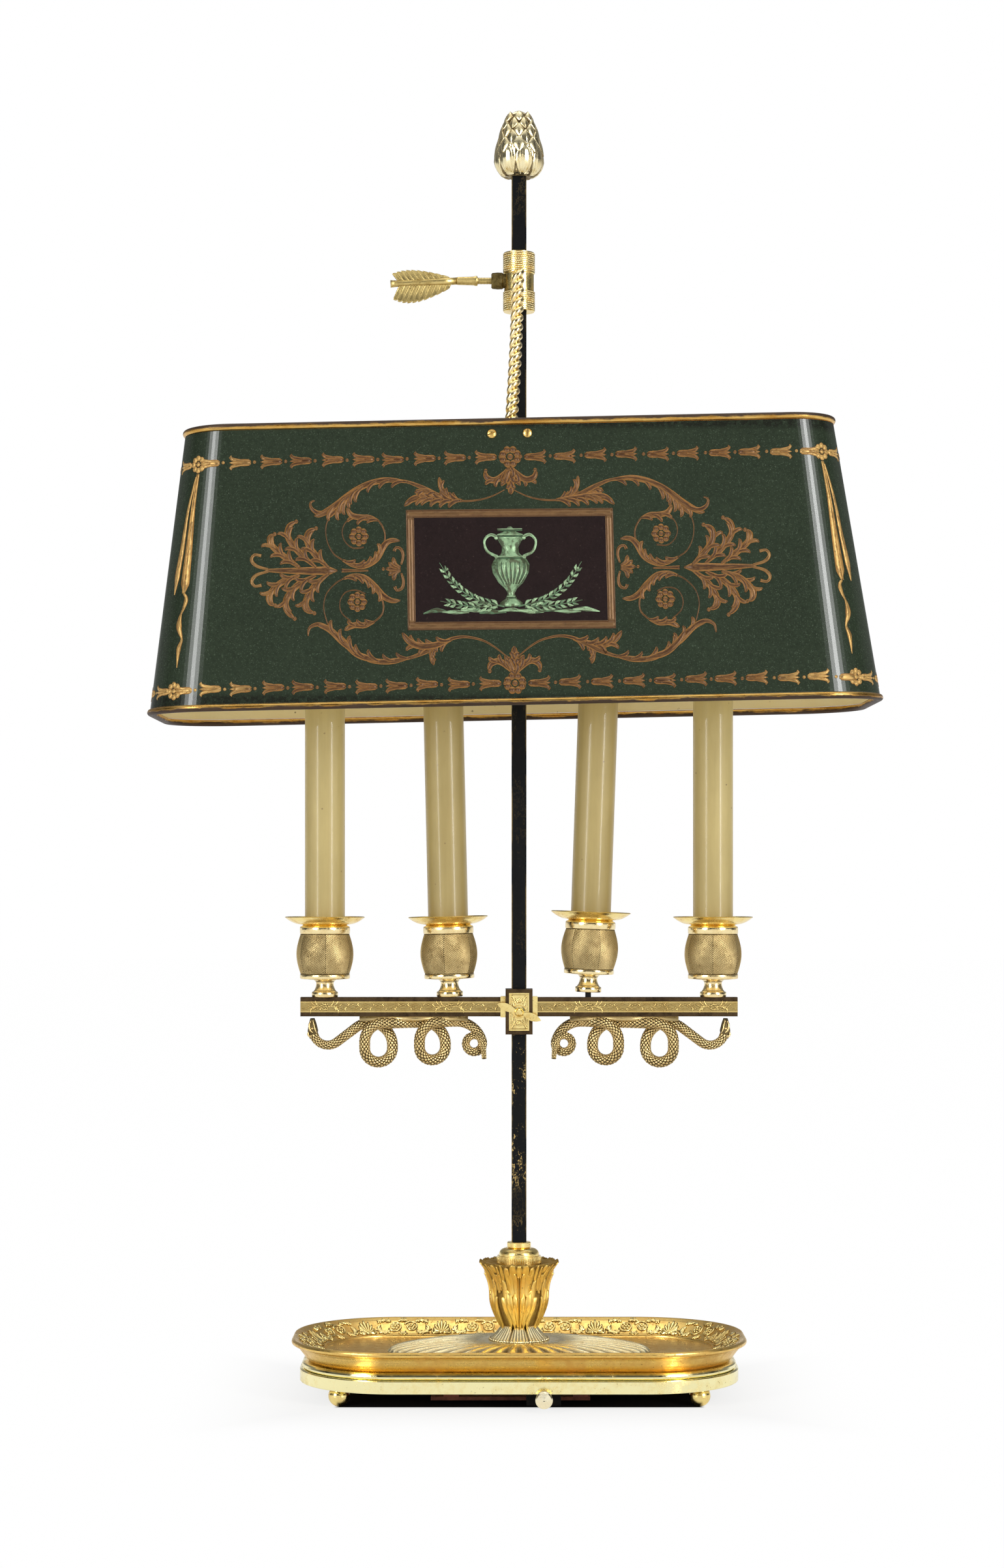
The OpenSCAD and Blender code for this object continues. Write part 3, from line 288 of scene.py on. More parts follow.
def edgePaint():  # the wired edges of the shade: gilt worn brown in patches where hands hold it; by facing, the half of each wire that turns towards the middle of the wall stays gold as a painted highlight and the outer half is painted brown as shade
    paint = Paint("wornGiltEdge")
    at = paint.place(centre=shadeCentre, turn=(0, radians(shadeSize["roll"]), 0))
    facing = paint.axes(paint.node("ShaderNodeTexCoord", out="Normal"))[2]
    along = paint.noise(paint.place(stretch=(0.2, 0.2, 1)), 0.004, 5, 0.7)
    patch = paint.noise(at, 0.016, 4, 0.6)
    topRim = paint.axes(at)[2].ramp(-0.01, 0.01)
    # brown share: wear in patches, plus painted shade on the outer half of each wire, chosen by its facing
    brownWearAndShade = (facing * (topRim * 2 - 1) + (along - 0.5) * 2.4 + (patch - 0.5) * 1.5 + 0.22).ramp(-0.1, 0.5)
    gold = paint.mix(along.ramp(0.3, 0.7), lin(186, 134, 58), lin(238, 196, 112))
    brown = paint.mix(patch, lin(30, 22, 16), lin(84, 62, 42))
    return paint.surface(along * 0.8 + patch * 0.4, 0.0004, 0.6, baseColor=paint.mix(brownWearAndShade, gold, brown),
                         metallic=1 - brownWearAndShade * 0.55, roughness=brownWearAndShade * 0.25 + along * 0.2 + 0.18)


def rodPaint():  # black patina; the sliding collars have flaked it, and brass shows round the flakes
    paint = Paint("blackIron")
    at = paint.place()
    x, y, z = paint.axes(at)
    edge = (x.size().low(y.size()) * (1 / rodHalf)).ramp(0.84, 0.99)
    long = paint.noise(paint.place(stretch=(1, 1, 0.12)), 0.003, 5, 0.7)
    flakes = paint.noise(paint.place(stretch=(1, 1, 0.4)), 0.009, 4, 0.6)
    fine = paint.noise(at, 0.0013, 4, 0.7)
    zone = z.ramp(0.168, 0.182) * z.ramp(0.212, 0.224, 1, 0)
    zone = zone.high(z.ramp(0.118, 0.132) * z.ramp(0.156, 0.166, 1, 0))
    zone = zone.high(z.ramp(0.70, 0.725) * 0.12).high(z.ramp(0.098, 0.112, 0.3, 0.04))
    rims = (flakes - 0.58).size().ramp(0.003, 0.01, 1, 0)
    scuff = (fine - 0.3 + (flakes - 0.5) * 0.9).ramp(0.3, 0.4) * 0.5
    bare = (zone * rims.high(scuff)).high(edge * (long - 0.42).ramp(0.0, 0.2) * 0.7)
    black = paint.mix(long * 0.6 + fine * 0.4, lin(4, 5, 6), lin(17, 19, 21))
    gold = paint.mix(fine, lin(150, 120, 70), lin(228, 198, 128))
    height = long * 0.4 + fine * 0.3 - bare * 0.5
    return paint.surface(height, 0.0003, 0.5, baseColor=paint.mix(bare, black, gold), metallic=bare * 0.8,
                         roughness=long * 0.2 + 0.3, specular=0.15)


def lacquerPaint():  # green lacquer outside, stained cream inside
    paint = Paint("greenLacquer")
    at = paint.place(centre=shadeCentre)
    x, y, z = paint.axes(at)
    nx, ny = paint.axes(paint.node("ShaderNodeTexCoord", out="Normal"))[:2]
    inside = (nx * x + ny * y).ramp(0.001, -0.001)
    tone, grain = paint.noise(at, 0.05, 3, 0.5), paint.noise(at, 0.0022, 3, 0.6)
    dust = paint.spots(at, 0.0034, 0.05, 0.1) * paint.noise(at, 0.012, 2).ramp(0.48, 0.66)
    hairs = paint.noise(paint.place(turn=(0.2, 0.9, 0.2), stretch=(0.04, 1, 1)), 0.0011, 2).ramp(0.70, 0.78)
    nicks = paint.noise(paint.place(turn=(0, -0.7, 0), stretch=(0.1, 1, 1)), 0.0016, 3).ramp(0.72, 0.77)
    green = paint.mix(tone * 0.3 + grain * 0.7, lin(24, 30, 22), lin(57, 69, 52))
    green = paint.mix(paint.noise(at, 0.0007, 2, 0.5).ramp(0.58, 0.7) * 0.4, green, lin(96, 112, 92))
    green = paint.mix(dust * 0.55, green, lin(120, 132, 112))
    # painted shadow: a dark line just inside the top and bottom wired edges
    green = paint.mix(z.size().ramp(0.0765, 0.0805) * grain.ramp(0.3, 0.6) * 0.75, green, lin(22, 20, 16))
    cream = paint.mix(paint.noise(at, 0.03, 4, 0.6), lin(244, 224, 162), lin(252, 240, 198))
    cream = paint.mix(paint.spots(at, 0.006, 0.06, 0.16) * grain.ramp(0.42, 0.6) * 0.8, cream,
                      lin(84, 62, 40))
    gloss = (grain * 0.14 + hairs * 0.25 + nicks * 0.25 + dust * 0.3 + 0.17) * (1 - inside) + inside * 0.62
    brushed = paint.noise(paint.place(stretch=(0.22, 0.22, 1)), 0.002, 3, 0.6)  # brushed along the sheet
    height = grain * 0.2 + brushed * 2.4 - hairs * 0.5 - nicks * 0.5 + dust * 0.5
    return paint.surface(height, 0.00022, 0.5, baseColor=paint.mix(inside, green, cream), roughness=gloss,
                         coatWeight=(1 - inside) * 0.5, coatRoughness=0.2, coatIor=1.8, specular=0)


def woodPaint(name, low, high, grain, rough, along):
    paint = Paint(name)
    rings = paint.noise(paint.place(stretch=along), grain, 4, 0.6)
    pores = paint.noise(paint.place(stretch=tuple(a * 0.6 for a in along)), grain * 0.14, 3, 0.7)
    colour = paint.mix(rings.ramp(0.3, 0.7), low, high)
    colour = paint.mix(pores.ramp(0.55, 0.75) * 0.6, colour, tuple(c * 0.3 for c in low))
    return paint.surface(pores + rings, 0.0002, 0.5, baseColor=colour, roughness=pores * 0.2 + rough)


def plasticPaint(name, low, high, rough, sheen, shine):
    paint = Paint(name)
    at = paint.place()
    tone, grain = paint.noise(at, 0.01, 3, 0.6), paint.noise(at, 0.0008, 3, 0.6)
    return paint.surface(grain, 0.00006, 0.4, baseColor=paint.mix(tone * 0.7 + grain * 0.3, low, high),
                         coatWeight=sheen, specular=shine, roughness=grain * 0.2 + rough)


def candlePaint(name, low, high):  # waxy sleeve with a few brown spots, darker towards its foot
    paint = Paint(name)
    at = paint.place()
    stain = paint.noise(paint.place(stretch=(1, 1, 0.3)), 0.02, 4, 0.6)
    grain = paint.noise(at, 0.001, 3, 0.6)
    spots = paint.spots(at, 0.007, 0.05, 0.11) * paint.noise(at, 0.004, 2).ramp(0.5, 0.6)
    runs = paint.noise(paint.place(stretch=(1, 1, 0.05)), 0.003, 3, 0.6)
    foot = paint.axes(at)[2].ramp(0.44, 0.28)
    colour = paint.mix((stain * 0.6 + foot * 0.3 + runs * 0.2).ramp(0.25, 0.8), high, low)
    colour = paint.mix(spots * 0.7, colour, lin(120, 92, 58))
    return paint.surface(grain * 0.3 + runs * 0.5, 0.00015, 0.45, baseColor=colour, coatWeight=0.25,
                         roughness=stain * 0.15 + grain * 0.1 + 0.3)


def glassPaint():
    paint = Paint("bulbGlass")
    haze = paint.noise(paint.place(), 0.012, 3, 0.6)
    return paint.surface(haze, 0.0001, 0.3, baseColor=paint.mix(haze, lin(232, 230, 222), lin(248, 246, 240)),
                         roughness=haze * 0.1 + 0.16, coatWeight=0.6)


def panelPaint():
    paint = Paint("panelGround")
    at = paint.place()
    tone, grain = paint.noise(at, 0.012, 4, 0.6), paint.noise(at, 0.0012, 3, 0.6)
    colour = paint.mix(tone * 0.6 + grain * 0.4, lin(17, 9, 10), lin(42, 28, 27))
    colour = paint.mix(grain.ramp(0.66, 0.74) * 0.4, colour, lin(96, 78, 70))
    return paint.surface(grain + tone * 0.4, 0.0001, 0.5, baseColor=colour, roughness=grain * 0.15 + 0.26,
                         specular=0.3)


def tolePaint(name, low, high, line, bright, outline, streaks=0.9):  # colour laid on the lacquer
    paint = Paint(name)
    at = paint.place(centre=shadeCentre)
    tone, along, across = (paint.attribute(key) for key in ("tone", "along", "across"))
    strokes = paint.node("ShaderNodeCombineXYZ", inputs={0: along * 0.16, 1: across * 1.7, 2: tone * 31.0})
    hand, blot = paint.noise(strokes, 1.0, 4, 0.65), paint.noise(at, 0.0035, 4, 0.7)
    worn = paint.noise(at, 0.0012, 3, 0.7).ramp(0.63, 0.7)
    colour = paint.mix((hand * streaks + tone - 0.5 * streaks).ramp(0.15, 0.85), lin(*low), lin(*high))
    # painted highlight: the paint turns lighter towards the ends of the shade
    colour = paint.mix(paint.axes(at)[0].size().ramp(0.13, 0.19) * 0.8, colour, lin(*bright))
    colour = paint.mix((hand - blot * 0.4).ramp(0.33, 0.22) * (0.7 * streaks), colour, lin(70, 42, 26))
    colour = paint.mix((across.size() + (blot - 0.5) * 0.8).ramp(0.45, 1.0) * outline, colour, lin(*line))
    colour = paint.mix(worn * 0.6, colour, lin(42, 56, 42))
    return paint.surface(hand + blot * 0.5, 0.0001, 0.5, baseColor=colour, metallic=0.25, specular=0.35,
                         roughness=hand * 0.2 + 0.28)


shadeSize = {"length": 429, "depth": 152, "corner": 38, "topCorner": 28, "flare": 46, "height": 165,
             "bottom": 410, "shift": 4.2, "roll": 1.2}
shadeCentre = (-shadeSize["shift"] * mm, 0, (shadeSize["bottom"] + shadeSize["height"] / 2) * mm)
rodHalf = 4.45 * mm
paints = {name: metalPaint(name, *colours, **values) for name, (*colours, values) in metals.items()}
creamCandle = candlePaint("candleCream", lin(182, 162, 104), lin(212, 194, 132))
oliveCandle = candlePaint("candleOlive", lin(166, 146, 90), lin(194, 174, 114))
finishes = {
    "gilt_brass": paints["giltBrass"], "deep_gilt": paints["deepGilt"], "antique_gilt": paints["antiqueGilt"],
    "plain_brass": paints["plainBrass"], "olive_brass": paints["oliveBrass"],
    "dark_bronze": paints["darkBronze"], "worn_gilt_edge": edgePaint(), "black_iron": rodPaint(),
    "green_lacquer": lacquerPaint(), "candle_cream": creamCandle, "bulb_glass": glassPaint(),
    "mahogany": woodPaint("mahogany", lin(104, 44, 28), lin(150, 72, 44), 0.006, 0.4, (1, 0.08, 1)),
    "fibre_board": woodPaint("fibreBoard", lin(104, 56, 40), lin(136, 80, 58), 0.004, 0.6, (1, 1, 1)),
    "bakelite": plasticPaint("bakelite", lin(8, 7, 6), lin(14, 12, 10), 0.5, 0.0, 0.1),
    "holder_plastic": plasticPaint("holderPlastic", lin(206, 200, 180), lin(226, 220, 202), 0.4, 0.3, 0.5)}
special = {"candle_sleeve_2": oliveCandle, "candle_sleeve_3": oliveCandle,
           "switch_knob": paints["polishedBrass"], "plinth_band": paints["brightGilt"],
           "tray": paints["satinGilt"], "key_boss": paints["oliveBrass"]}
slotOf = {part["node"]: part["material_slot"] for part in frame["record"]["subparts"]}
for name, node in nodes.items():
    node.data.materials.clear()
    node.data.materials.append(special.get(name, finishes[slotOf[name]]))
print("finishes ready:", len(finishes))


def fan(count, turn=0.0):  # even angles round a circle, from turn steps on
    return [2 * pi * (k + turn) / count for k in range(count)]


def spoke(a, r=1.0, z=0.0):
    return Vector((r * cos(a), r * sin(a), z))


class Shape:  # a mesh in mm, ring by ring; a value is crest, or crest, tone, along and across
    def __init__(self):
        self.points, self.faces, self.values = [], [], []

    def ring(self, points, values):
        start = len(self.points)
        self.points += points
        values = values if isinstance(values, list) else [values] * len(points)
        self.values += [v if isinstance(v, tuple) else (v, 0.5, 0, 0) for v in values]
        return range(start, start + len(points))

    def bridge(self, low, high):
        for i in range(len(low)):
            j = (i + 1) % len(low)
            self.faces.append((low[i], low[j], high[j], high[i]))

    def cap(self, ring, flip=False):
        n = len(ring)
        middle = sum((self.points[i] for i in ring), Vector()) / n
        centre = self.ring([middle], [tuple(sum(self.values[i][k] for i in ring) / n for k in range(4))])[0]
        for a, b in zip(ring, [*ring[1:], ring[0]]):
            self.faces.append((centre, b, a) if flip else (centre, a, b))

    def tube(self, rings, values):  # closed skin over rings that run anticlockwise seen from the last one
        values = values if isinstance(values, list) else [values] * len(rings)
        rows = [self.ring(points, value) for points, value in zip(rings, values)]
        for low, high in zip(rows, rows[1:]):
            self.bridge(low, high)
        self.cap(rows[0], flip=True)
        self.cap(rows[-1])

    def piece(self, name, finish, body, slot, replaced=(), smooth=True):
        mesh = bpy.data.meshes.new(name)
        mesh.from_pydata([point * mm for point in self.points], [], self.faces)
        for k, key in enumerate(("crest", "tone", "along", "across")):
            attribute = mesh.attributes.new(key, "FLOAT", "POINT")
            attribute.data.foreach_set("value", [value[k] for value in self.values])
        addObject(name, mesh, finish, body, replaced, smooth)


def addObject(name, mesh, finish, body, replaced=(), smooth=True):
    mesh.materials.clear()
    mesh.materials.append(paints[finish])
    mesh.polygons.foreach_set("use_smooth", [smooth] * len(mesh.polygons))
    piece = link(name, mesh)
    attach(piece, body)
    if replaced:
        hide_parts(*replaced)


def mixed(a, b, share):
    return a + (b - a) * share


def spread(table):  # plain values are spread evenly from 0 to 1
    return table if isinstance(table[0], tuple) else [(k / (len(table) - 1), v) for k, v in enumerate(table)]


def between(table, share):  # a value read off ((share, value), ...) in straight steps
    for (x0, y0), (x1, y1) in zip(table, table[1:]):
        if share <= x1:
            return mixed(y0, y1, max(0.0, (share - x0) / (x1 - x0)))
    return table[-1][1]


def curve(points, step):  # a smooth path through points, cut into even steps
    dense, padded, fine = [], [points[0], *points, points[-1]], 16
    for corners in zip(padded, padded[1:], padded[2:], padded[3:]):
        for t in (i / fine for i in range(fine)):
            dense.append(tuple(0.5 * (2 * q + (r - p) * t + (2 * p - 5 * q + 4 * r - w) * t * t
                                      + (3 * q - p - 3 * r + w) * t ** 3) for p, q, r, w in zip(*corners)))
    dense.append(tuple(points[-1]))
    lengths = [0.0]
    for a, b in zip(dense, dense[1:]):
        lengths.append(lengths[-1] + dist(a, b))
    count = max(3, round(lengths[-1] / step))
    path, k = [], 0
    for i in range(count + 1):
        goal = lengths[-1] * i / count
        while k < len(dense) - 2 and lengths[k + 1] < goal:
            k += 1
        span = lengths[k + 1] - lengths[k]
        t = (goal - lengths[k]) / span if span > 1e-9 else 0
        path.append(tuple(mixed(a, b, t) for a, b in zip(dense[k], dense[k + 1])))
    return path


class Brush:  # lays raised strokes on a surface that is given as place(s, t, lift)
    def __init__(self, surface, lift, dome, sink=0.03, step=1.1):
        self.shape, self.surface, self.lift, self.dome = Shape(), surface, lift, dome
        self.sink, self.step, self.count = sink, step, 0
        self.across = (-1, -0.55, 0, 0.55, 1) if dome else (-1, 1)

    def stroke(self, spine, widths, tone=0.5, height=1.0):  # widths are half widths in mm along the stroke
        path, widths = curve(spine, self.step), spread(widths)
        self.count += 1
        lift = self.lift * height + (self.count % 40) * (0.0015 if self.dome else 0.003)
        rings, values, along = [], [], 0.0
        for i, (s, t) in enumerate(path):
            before, after = path[max(i - 1, 0)], path[min(i + 1, len(path) - 1)]
            ds, dt = after[0] - before[0], after[1] - before[1]
            size = hypot(ds, dt) or 1.0
            half = max(0.05, between(widths, i / (len(path) - 1)))
            along += dist(path[i], before)
            section = [(a, lift * (sqrt(max(0.0, 1 - 0.85 * a * a)) if self.dome else 1.0), 1 - 0.9 * a * a)
                       for a in reversed(self.across)] + [(-1, -self.sink, 0.0), (1, -self.sink, 0.0)]
            rings.append([self.surface(s - dt / size * half * a, t + ds / size * half * a, z)
                          for a, z, crest in reversed(section)])
            values.append([(crest, tone, along, a) for a, z, crest in reversed(section)])
        self.shape.tube(rings, values)

    def leaf(self, spine, width, lobes=4, tone=0.5, side=0, reach=1.0, tip=0.6, start=0.06):  # side 0 is both
        self.stroke(spine, [(x, share * width) for x, share in
                            ((0, 0.25), (0.3, 0.62), (0.75, 0.6), (0.93, 0.42), (1, 0.1))], tone)
        path = curve(spine, self.step)
        length = sum(dist(a, b) for a, b in zip(path, path[1:]))
        for way in (side,) if side else (-1, 1):
            for k in range(lobes):
                share = start + (tip - start) * k / max(1, lobes - 1)
                i = min(len(path) - 2, int(share * (len(path) - 1)))
                (s, t), (s1, t1) = path[i], path[min(len(path) - 1, i + 2)]
                heading = atan2(t1 - t, s1 - s)
                out = reach * min(9.0, max(4.2, 0.36 * length)) * (1 - 0.25 * abs(share - 0.4))
                points = [(s, t)]
                for turn, part in ((14, 0.4), (32, 0.34), (54, 0.24), (84, 0.16)):
                    a = heading + way * radians(turn)
                    points.append((points[-1][0] + cos(a) * out * part, points[-1][1] + sin(a) * out * part))
                widths = [(x, part * width) for x, part in ((0, 0.2), (0.5, 0.4), (0.82, 0.36), (1, 0.12))]
                self.stroke(points, widths, tone - 0.08 + 0.05 * k)

    def dot(self, s, t, radius, tone=0.5, height=1.0):
        step, self.step = self.step, radius / 3
        self.stroke([(s - radius, t), (s, t), (s + radius, t)],
                    [radius * sqrt(max(0.02, 1 - (2 * k / 8 - 1) ** 2)) for k in range(9)], tone, height)
        self.step = step

    def rosette(self, s, t, radius, petals=8, tone=0.55, turn=0.0):
        for a in (turn + petal for petal in fan(petals)):
            self.dot(s + 0.67 * radius * cos(a), t + 0.67 * radius * sin(a), 0.32 * radius, tone)
        self.dot(s, t, 0.26 * radius, tone + 0.2, 1.3)


def cornered(d, straightX, straightY, offset, mid):  # along a side, round the corner and up the next side
    arc = mid * pi / 2
    if d <= straightX:
        return d, -straightY - offset, 0.0
    if d <= straightX + arc:
        a = (d - straightX) / mid
        return straightX + offset * sin(a), -straightY - offset * cos(a), a
    return straightX + offset, -straightY + d - straightX - arc, pi / 2


def onShade(turned):  # s runs round the sheet from the middle of a long wall, t up from its mid height, in mm
    size = shadeSize
    tilt = atan(size["flare"] / 2 / size["height"])
    hang = Matrix.Translation(Vector(shadeCentre) / mm) @ Matrix.Rotation(
        radians(-size["roll"]), 4, "Y") @ Matrix.Rotation(pi if turned else 0, 4, "Z")

    def place(s, t, lift):
        k = t / size["height"] + 0.5
        r = mixed(size["corner"], size["topCorner"], k)
        halfLength, halfDepth = ((size[key] - size["flare"] * k) / 2 for key in ("length", "depth"))
        x, y, a = cornered(abs(s), halfLength - r, halfDepth - r, r, r)
        out = Vector((sin(a) * cos(tilt), -cos(a) * cos(tilt), sin(tilt)))
        point = Vector((x, y, t)) + out * lift
        return hang @ Vector((point.x if s >= 0 else -point.x, point.y, point.z))
    return place


# a border is height, number of husks, place of the rosette and half length; a spray is height and way up;
# middle is scale, shift and lean
ornament = {"borders": ((61.3, 10, 183.0, 238.8), (-71.8, 11, 198.6, 280.7)),
            "sprays": ((55.5, -1), (-66.8, 1)), "first": 14.1, "pitch": 17.9, "huskLength": 12.4,
            "huskSpread": 4.3, "rosette": 5.9, "endMiddle": 260.5, "panel": (122.0, 70.2), "band": 4.2,
            "panelHeight": -5.0, "middle": {"front": (0.98, -1.1, 0.0113), "back": (0.98, 0.0, 0.0)}}
inner, outer, either = 1, -1, 0  # the side of a path that bears the lobes
thinLine, thinRing = (0.3, 0.24, 0.38), (0.7, 0.4, 0.5)
scrolls = (  # left half: a path, then width, lobes, tone, side and reach of a leaf, or widths and tone
    ([(-2.5, 41.8), (-10.5, 37.9), (-19.4, 35.7), (-29.1, 35.5), (-37.3, 37.3), (-44.2, 39.9), (-52.4, 44.0),
      (-61, 47.2), (-71.6, 48.2), (-81.3, 46.7), (-89.6, 43.4), (-96.5, 38.6), (-102.1, 33.8), (-107.6, 29.9),
      (-113.1, 29.1), (-117, 31.6), (-117.8, 35.1), (-115.2, 36.4)],
     ((0, 0.25), (0.2, 0.55), (0.36, 1.5), (0.48, 0.75), (0.62, 1.0), (0.8, 1.9), (0.93, 1.2),
      (1, 0.3)), 0.45),
    ([(-3, -56.5), (-11, -50.2), (-18.2, -46.4), (-27.8, -44.5), (-36, -45.7), (-44.3, -49.7), (-52.5, -53.7),
      (-62.2, -56.9), (-73.1, -58.4), (-84, -57.2), (-92.2, -53.5), (-100.3, -46.4), (-107.7, -39.3),
      (-113.8, -36.4), (-119.1, -38.4), (-120.1, -43.2)],
     ((0, 0.3), (0.2, 0.7), (0.38, 1.4), (0.5, 0.7), (0.65, 1.1), (0.8, 1.7), (0.94, 1.1), (1, 0.3)), 0.45),
    ([(-30, 36.2), (-36, 38.6), (-40, 43.0), (-41.2, 49.6)], 2.4, 3, 0.5, outer, 0.8),
    ([(-28, 35.6), (-40, 36.4), (-50, 37.6), (-57, 36.8), (-62.2, 32.6)], 3.4, 5, 0.45, either, 0.9),
    ([(-44, 40.4), (-50, 41.6), (-56, 40.6)], 2.6, 2, 0.5, inner, 1.0),
    ([(-60, 46.9), (-71, 48.2), (-81, 46.7), (-89.6, 43.0), (-96.5, 38.0), (-101, 33)],
     2.8, 4, 0.42, inner, 0.9),
    ([(-86, 44.6), (-93, 40.2), (-99, 34.8), (-104.4, 29.6), (-107.4, 26.0)], 3.2, 4, 0.48, inner, 1.1),
    ([(-90, 43.0), (-98, 37.0), (-106, 31.4), (-112, 28.0), (-115.6, 27.4)], 3.0, 3, 0.52, inner, 1.0),
    ([(-44, -50), (-47.4, -54.6), (-46.4, -60.8)], 2.4, 3, 0.5, inner, 0.8),
    ([(-36, -46.2), (-46, -49.4), (-54.8, -49.6), (-61, -46.6), (-64.6, -41.8)], 3.2, 4, 0.45, either, 0.9),
    ([(-60, -56.3), (-73, -58.6), (-84, -57.4), (-90, -53.6)], 2.6, 3, 0.42, outer, 0.9),
    ([(-78, -58.4), (-90, -54.8), (-97, -49.0), (-102.4, -42.0)], 3.0, 3, 0.45, outer, 1.0),
    ([(-92.2, -53.5), (-100.3, -46.4), (-107.7, -39.3), (-114.8, -36.6)], 3.0, 3, 0.5, outer, 0.9),
    ([(-106.3, 27.6), (-108.8, 20.6), (-108.1, 12.2), (-104.5, 5.1), (-99, 1.1)], thinLine, 0.2),
    ([(-91, 26.8), (-97.0, 23.4), (-99.2, 17.6), (-97.5, 12), (-92.8, 8.2), (-86.5, 8.6)], thinLine, 0.2),
    ([(-108.4, -36.6), (-110.7, -26.8), (-108.9, -18.5), (-103.3, -12.3), (-98.5, -9.7)], thinLine, 0.2),
    ([(-94.7, -34.8), (-100.1, -29.8), (-101.1, -23.5), (-97.9, -18), (-91.7, -16.6), (-86, -18.8)],
     thinLine, 0.2),
    ([(-79.1, 1.8), (-74.8, 9.5), (-74.1, 17.5), (-78.1, 24.6), (-83.5, 26.2)], thinRing, 0.4),
    ([(-80, -14.9), (-75.8, -23.4), (-76.1, -30.3), (-81, -35.1), (-86, -36.8)], thinRing, 0.4),
    ([(-99, 1.1), (-92.9, -1.9), (-86, -2.1), (-79.1, 1.8), (-74.4, 9.6), (-70.5, 12.4), (-65.2, 12.2)],
     3.0, 5, 0.5, inner, 0.75),
    ([(-98.5, -9.7), (-93, -8.2), (-86.1, -9.7), (-80, -14.9), (-75.4, -20.2), (-70.5, -22.9),
      (-65.5, -22.9)], 3.0, 5, 0.5, outer, 0.75),
    ([(-78.1, 24.4), (-82.5, 26.0), (-88.4, 26.2), (-93.6, 27.6), (-96.3, 32)], 2.8, 3, 0.5, inner, 0.9),
    ([(-81, -35.3), (-87, -37.2), (-93.3, -37.2), (-98.6, -40)], 2.8, 3, 0.5, outer, 0.9),
    ([(-84, -5.2), (-92, -5.1), (-99.8, -5)], (0.4, 0.7, 1.1), 0.4),
    ([(-102.3, -5), (-113.5, -5), (-127.2, -4.9), (-145.1, -4.5)],
     ((0, 0.3), (0.12, 2.6), (0.4, 2.2), (0.8, 1.4), (1, 0.8)), 0.45))
plumes = [[(-107.3, -3.5), (-114.8, 3.9), (-119.5, 11), (-119.5, 17.3), (-114.6, 20)],
          [(-114.9, -3), (-124.4, 5.5), (-130.9, 14.1), (-130.8, 21.1), (-126.3, 24.1)],
          [(-124.5, -3), (-134.7, 4.4), (-140.8, 10.1), (-142.2, 14.6), (-139.1, 16.8)],
          [(-107.4, -6.7), (-115, -12.8), (-120.5, -21), (-121.3, -27.3), (-116.2, -29.9)],
          [(-114.9, -7.5), (-125.9, -13.3), (-132.6, -21.5), (-132.3, -28.4), (-127.8, -33)],
          [(-124.5, -7.3), (-135.5, -11.7), (-142.4, -18.5), (-142.5, -23.3), (-139.1, -25.2)]]
plumeEnd = ((-143, 0.6), (-150, 2.6), (-153, 6.2), (-151.2, 9.2), (-147.2, 8.6))
palmetteCurl = ((-64.6, 2.5), (-63.4, 7.5), (-64.4, 11.4), (-67.4, 12.6), (-68.6, 10.4))
ribbon = [(-182.6, 55.5), (-186.2, 36.3), (-188.9, 12.5), (-190.6, -1.4), (-192.3, -14.9)]
ribbonTail = [(-192.3, -14.9), (-190.4, -17.6), (-191.6, -22.3), (-194.6, -28), (-195.6, -34.7),
              (-193.4, -41.7), (-195.6, -47.6), (-196.6, -58.2)]
innerRibbon = [(-184.5, 54), (-190.5, 33.6), (-194.5, 12.6), (-197.8, -1.3), (-200.5, -15)]


def husk(brush, s, t, sign, tone):  # a bell flower that opens away from the middle of the wall
    length, width = ornament["huskLength"], ornament["huskSpread"]

    def at(*points):
        return [(s + sign * (x * length - 0.5 * length), t + y) for x, y in points]
    brush.stroke(at((0, 0), (0.3, 0), (0.6, 0), (0.82, 0)),
                 ((0, 0.9), (0.06, 1.8), (0.4, 2.1), (0.8, 1.9), (1, 1.2)), tone)
    for side in (-1, 1):
        petal = at((0.3, side * 1.1), (0.62, side * 1.35), (0.86, side * 2.0), (0.97, side * 3.3),
                   (0.93, side * width))
        vein = at((0.08, side * 0.55), (0.4, side * 0.75), (0.72, side * 0.9))
        brush.stroke(petal, ((0, 0.5), (0.4, 1.0), (0.7, 1.05), (0.9, 0.8), (1, 0.2)), tone + 0.04)
        brush.stroke(vein, (0.1, 0.2, 0.1), -0.3, 2.0)
    tongue = at((0.45, 0), (0.7, 0), (0.9, 0), (1.02, 0))
    brush.stroke(tongue, ((0, 0.3), (0.5, 0.85), (0.8, 0.6), (1, 0.1)), tone + 0.15, 1.6)


def paintBorder(brush, sign):  # husks along the rims, rosettes near the corners
    for t, count, rosette, half in ornament["borders"]:
        for k in range(count):
            place = ornament["first"] + ornament["pitch"] * k + random.uniform(-0.6, 0.6)
            husk(brush, sign * place, t + random.uniform(-0.4, 0.4), sign, random.uniform(0.4, 0.6))
            brush.dot(sign * (place - 8.2), t, 0.95, 0.55)
        brush.rosette(sign * rosette, t, 5.4, 8, 0.6)
        beyond = half - rosette
        count = max(2, round(beyond / ornament["pitch"]))
        for k in range(count):
            place = rosette + beyond * (k + 0.62) / count
            if place < half - 5:
                husk(brush, sign * place, t, sign, 0.5)
            brush.dot(sign * (place - 8.6), t, 0.9, 0.55)


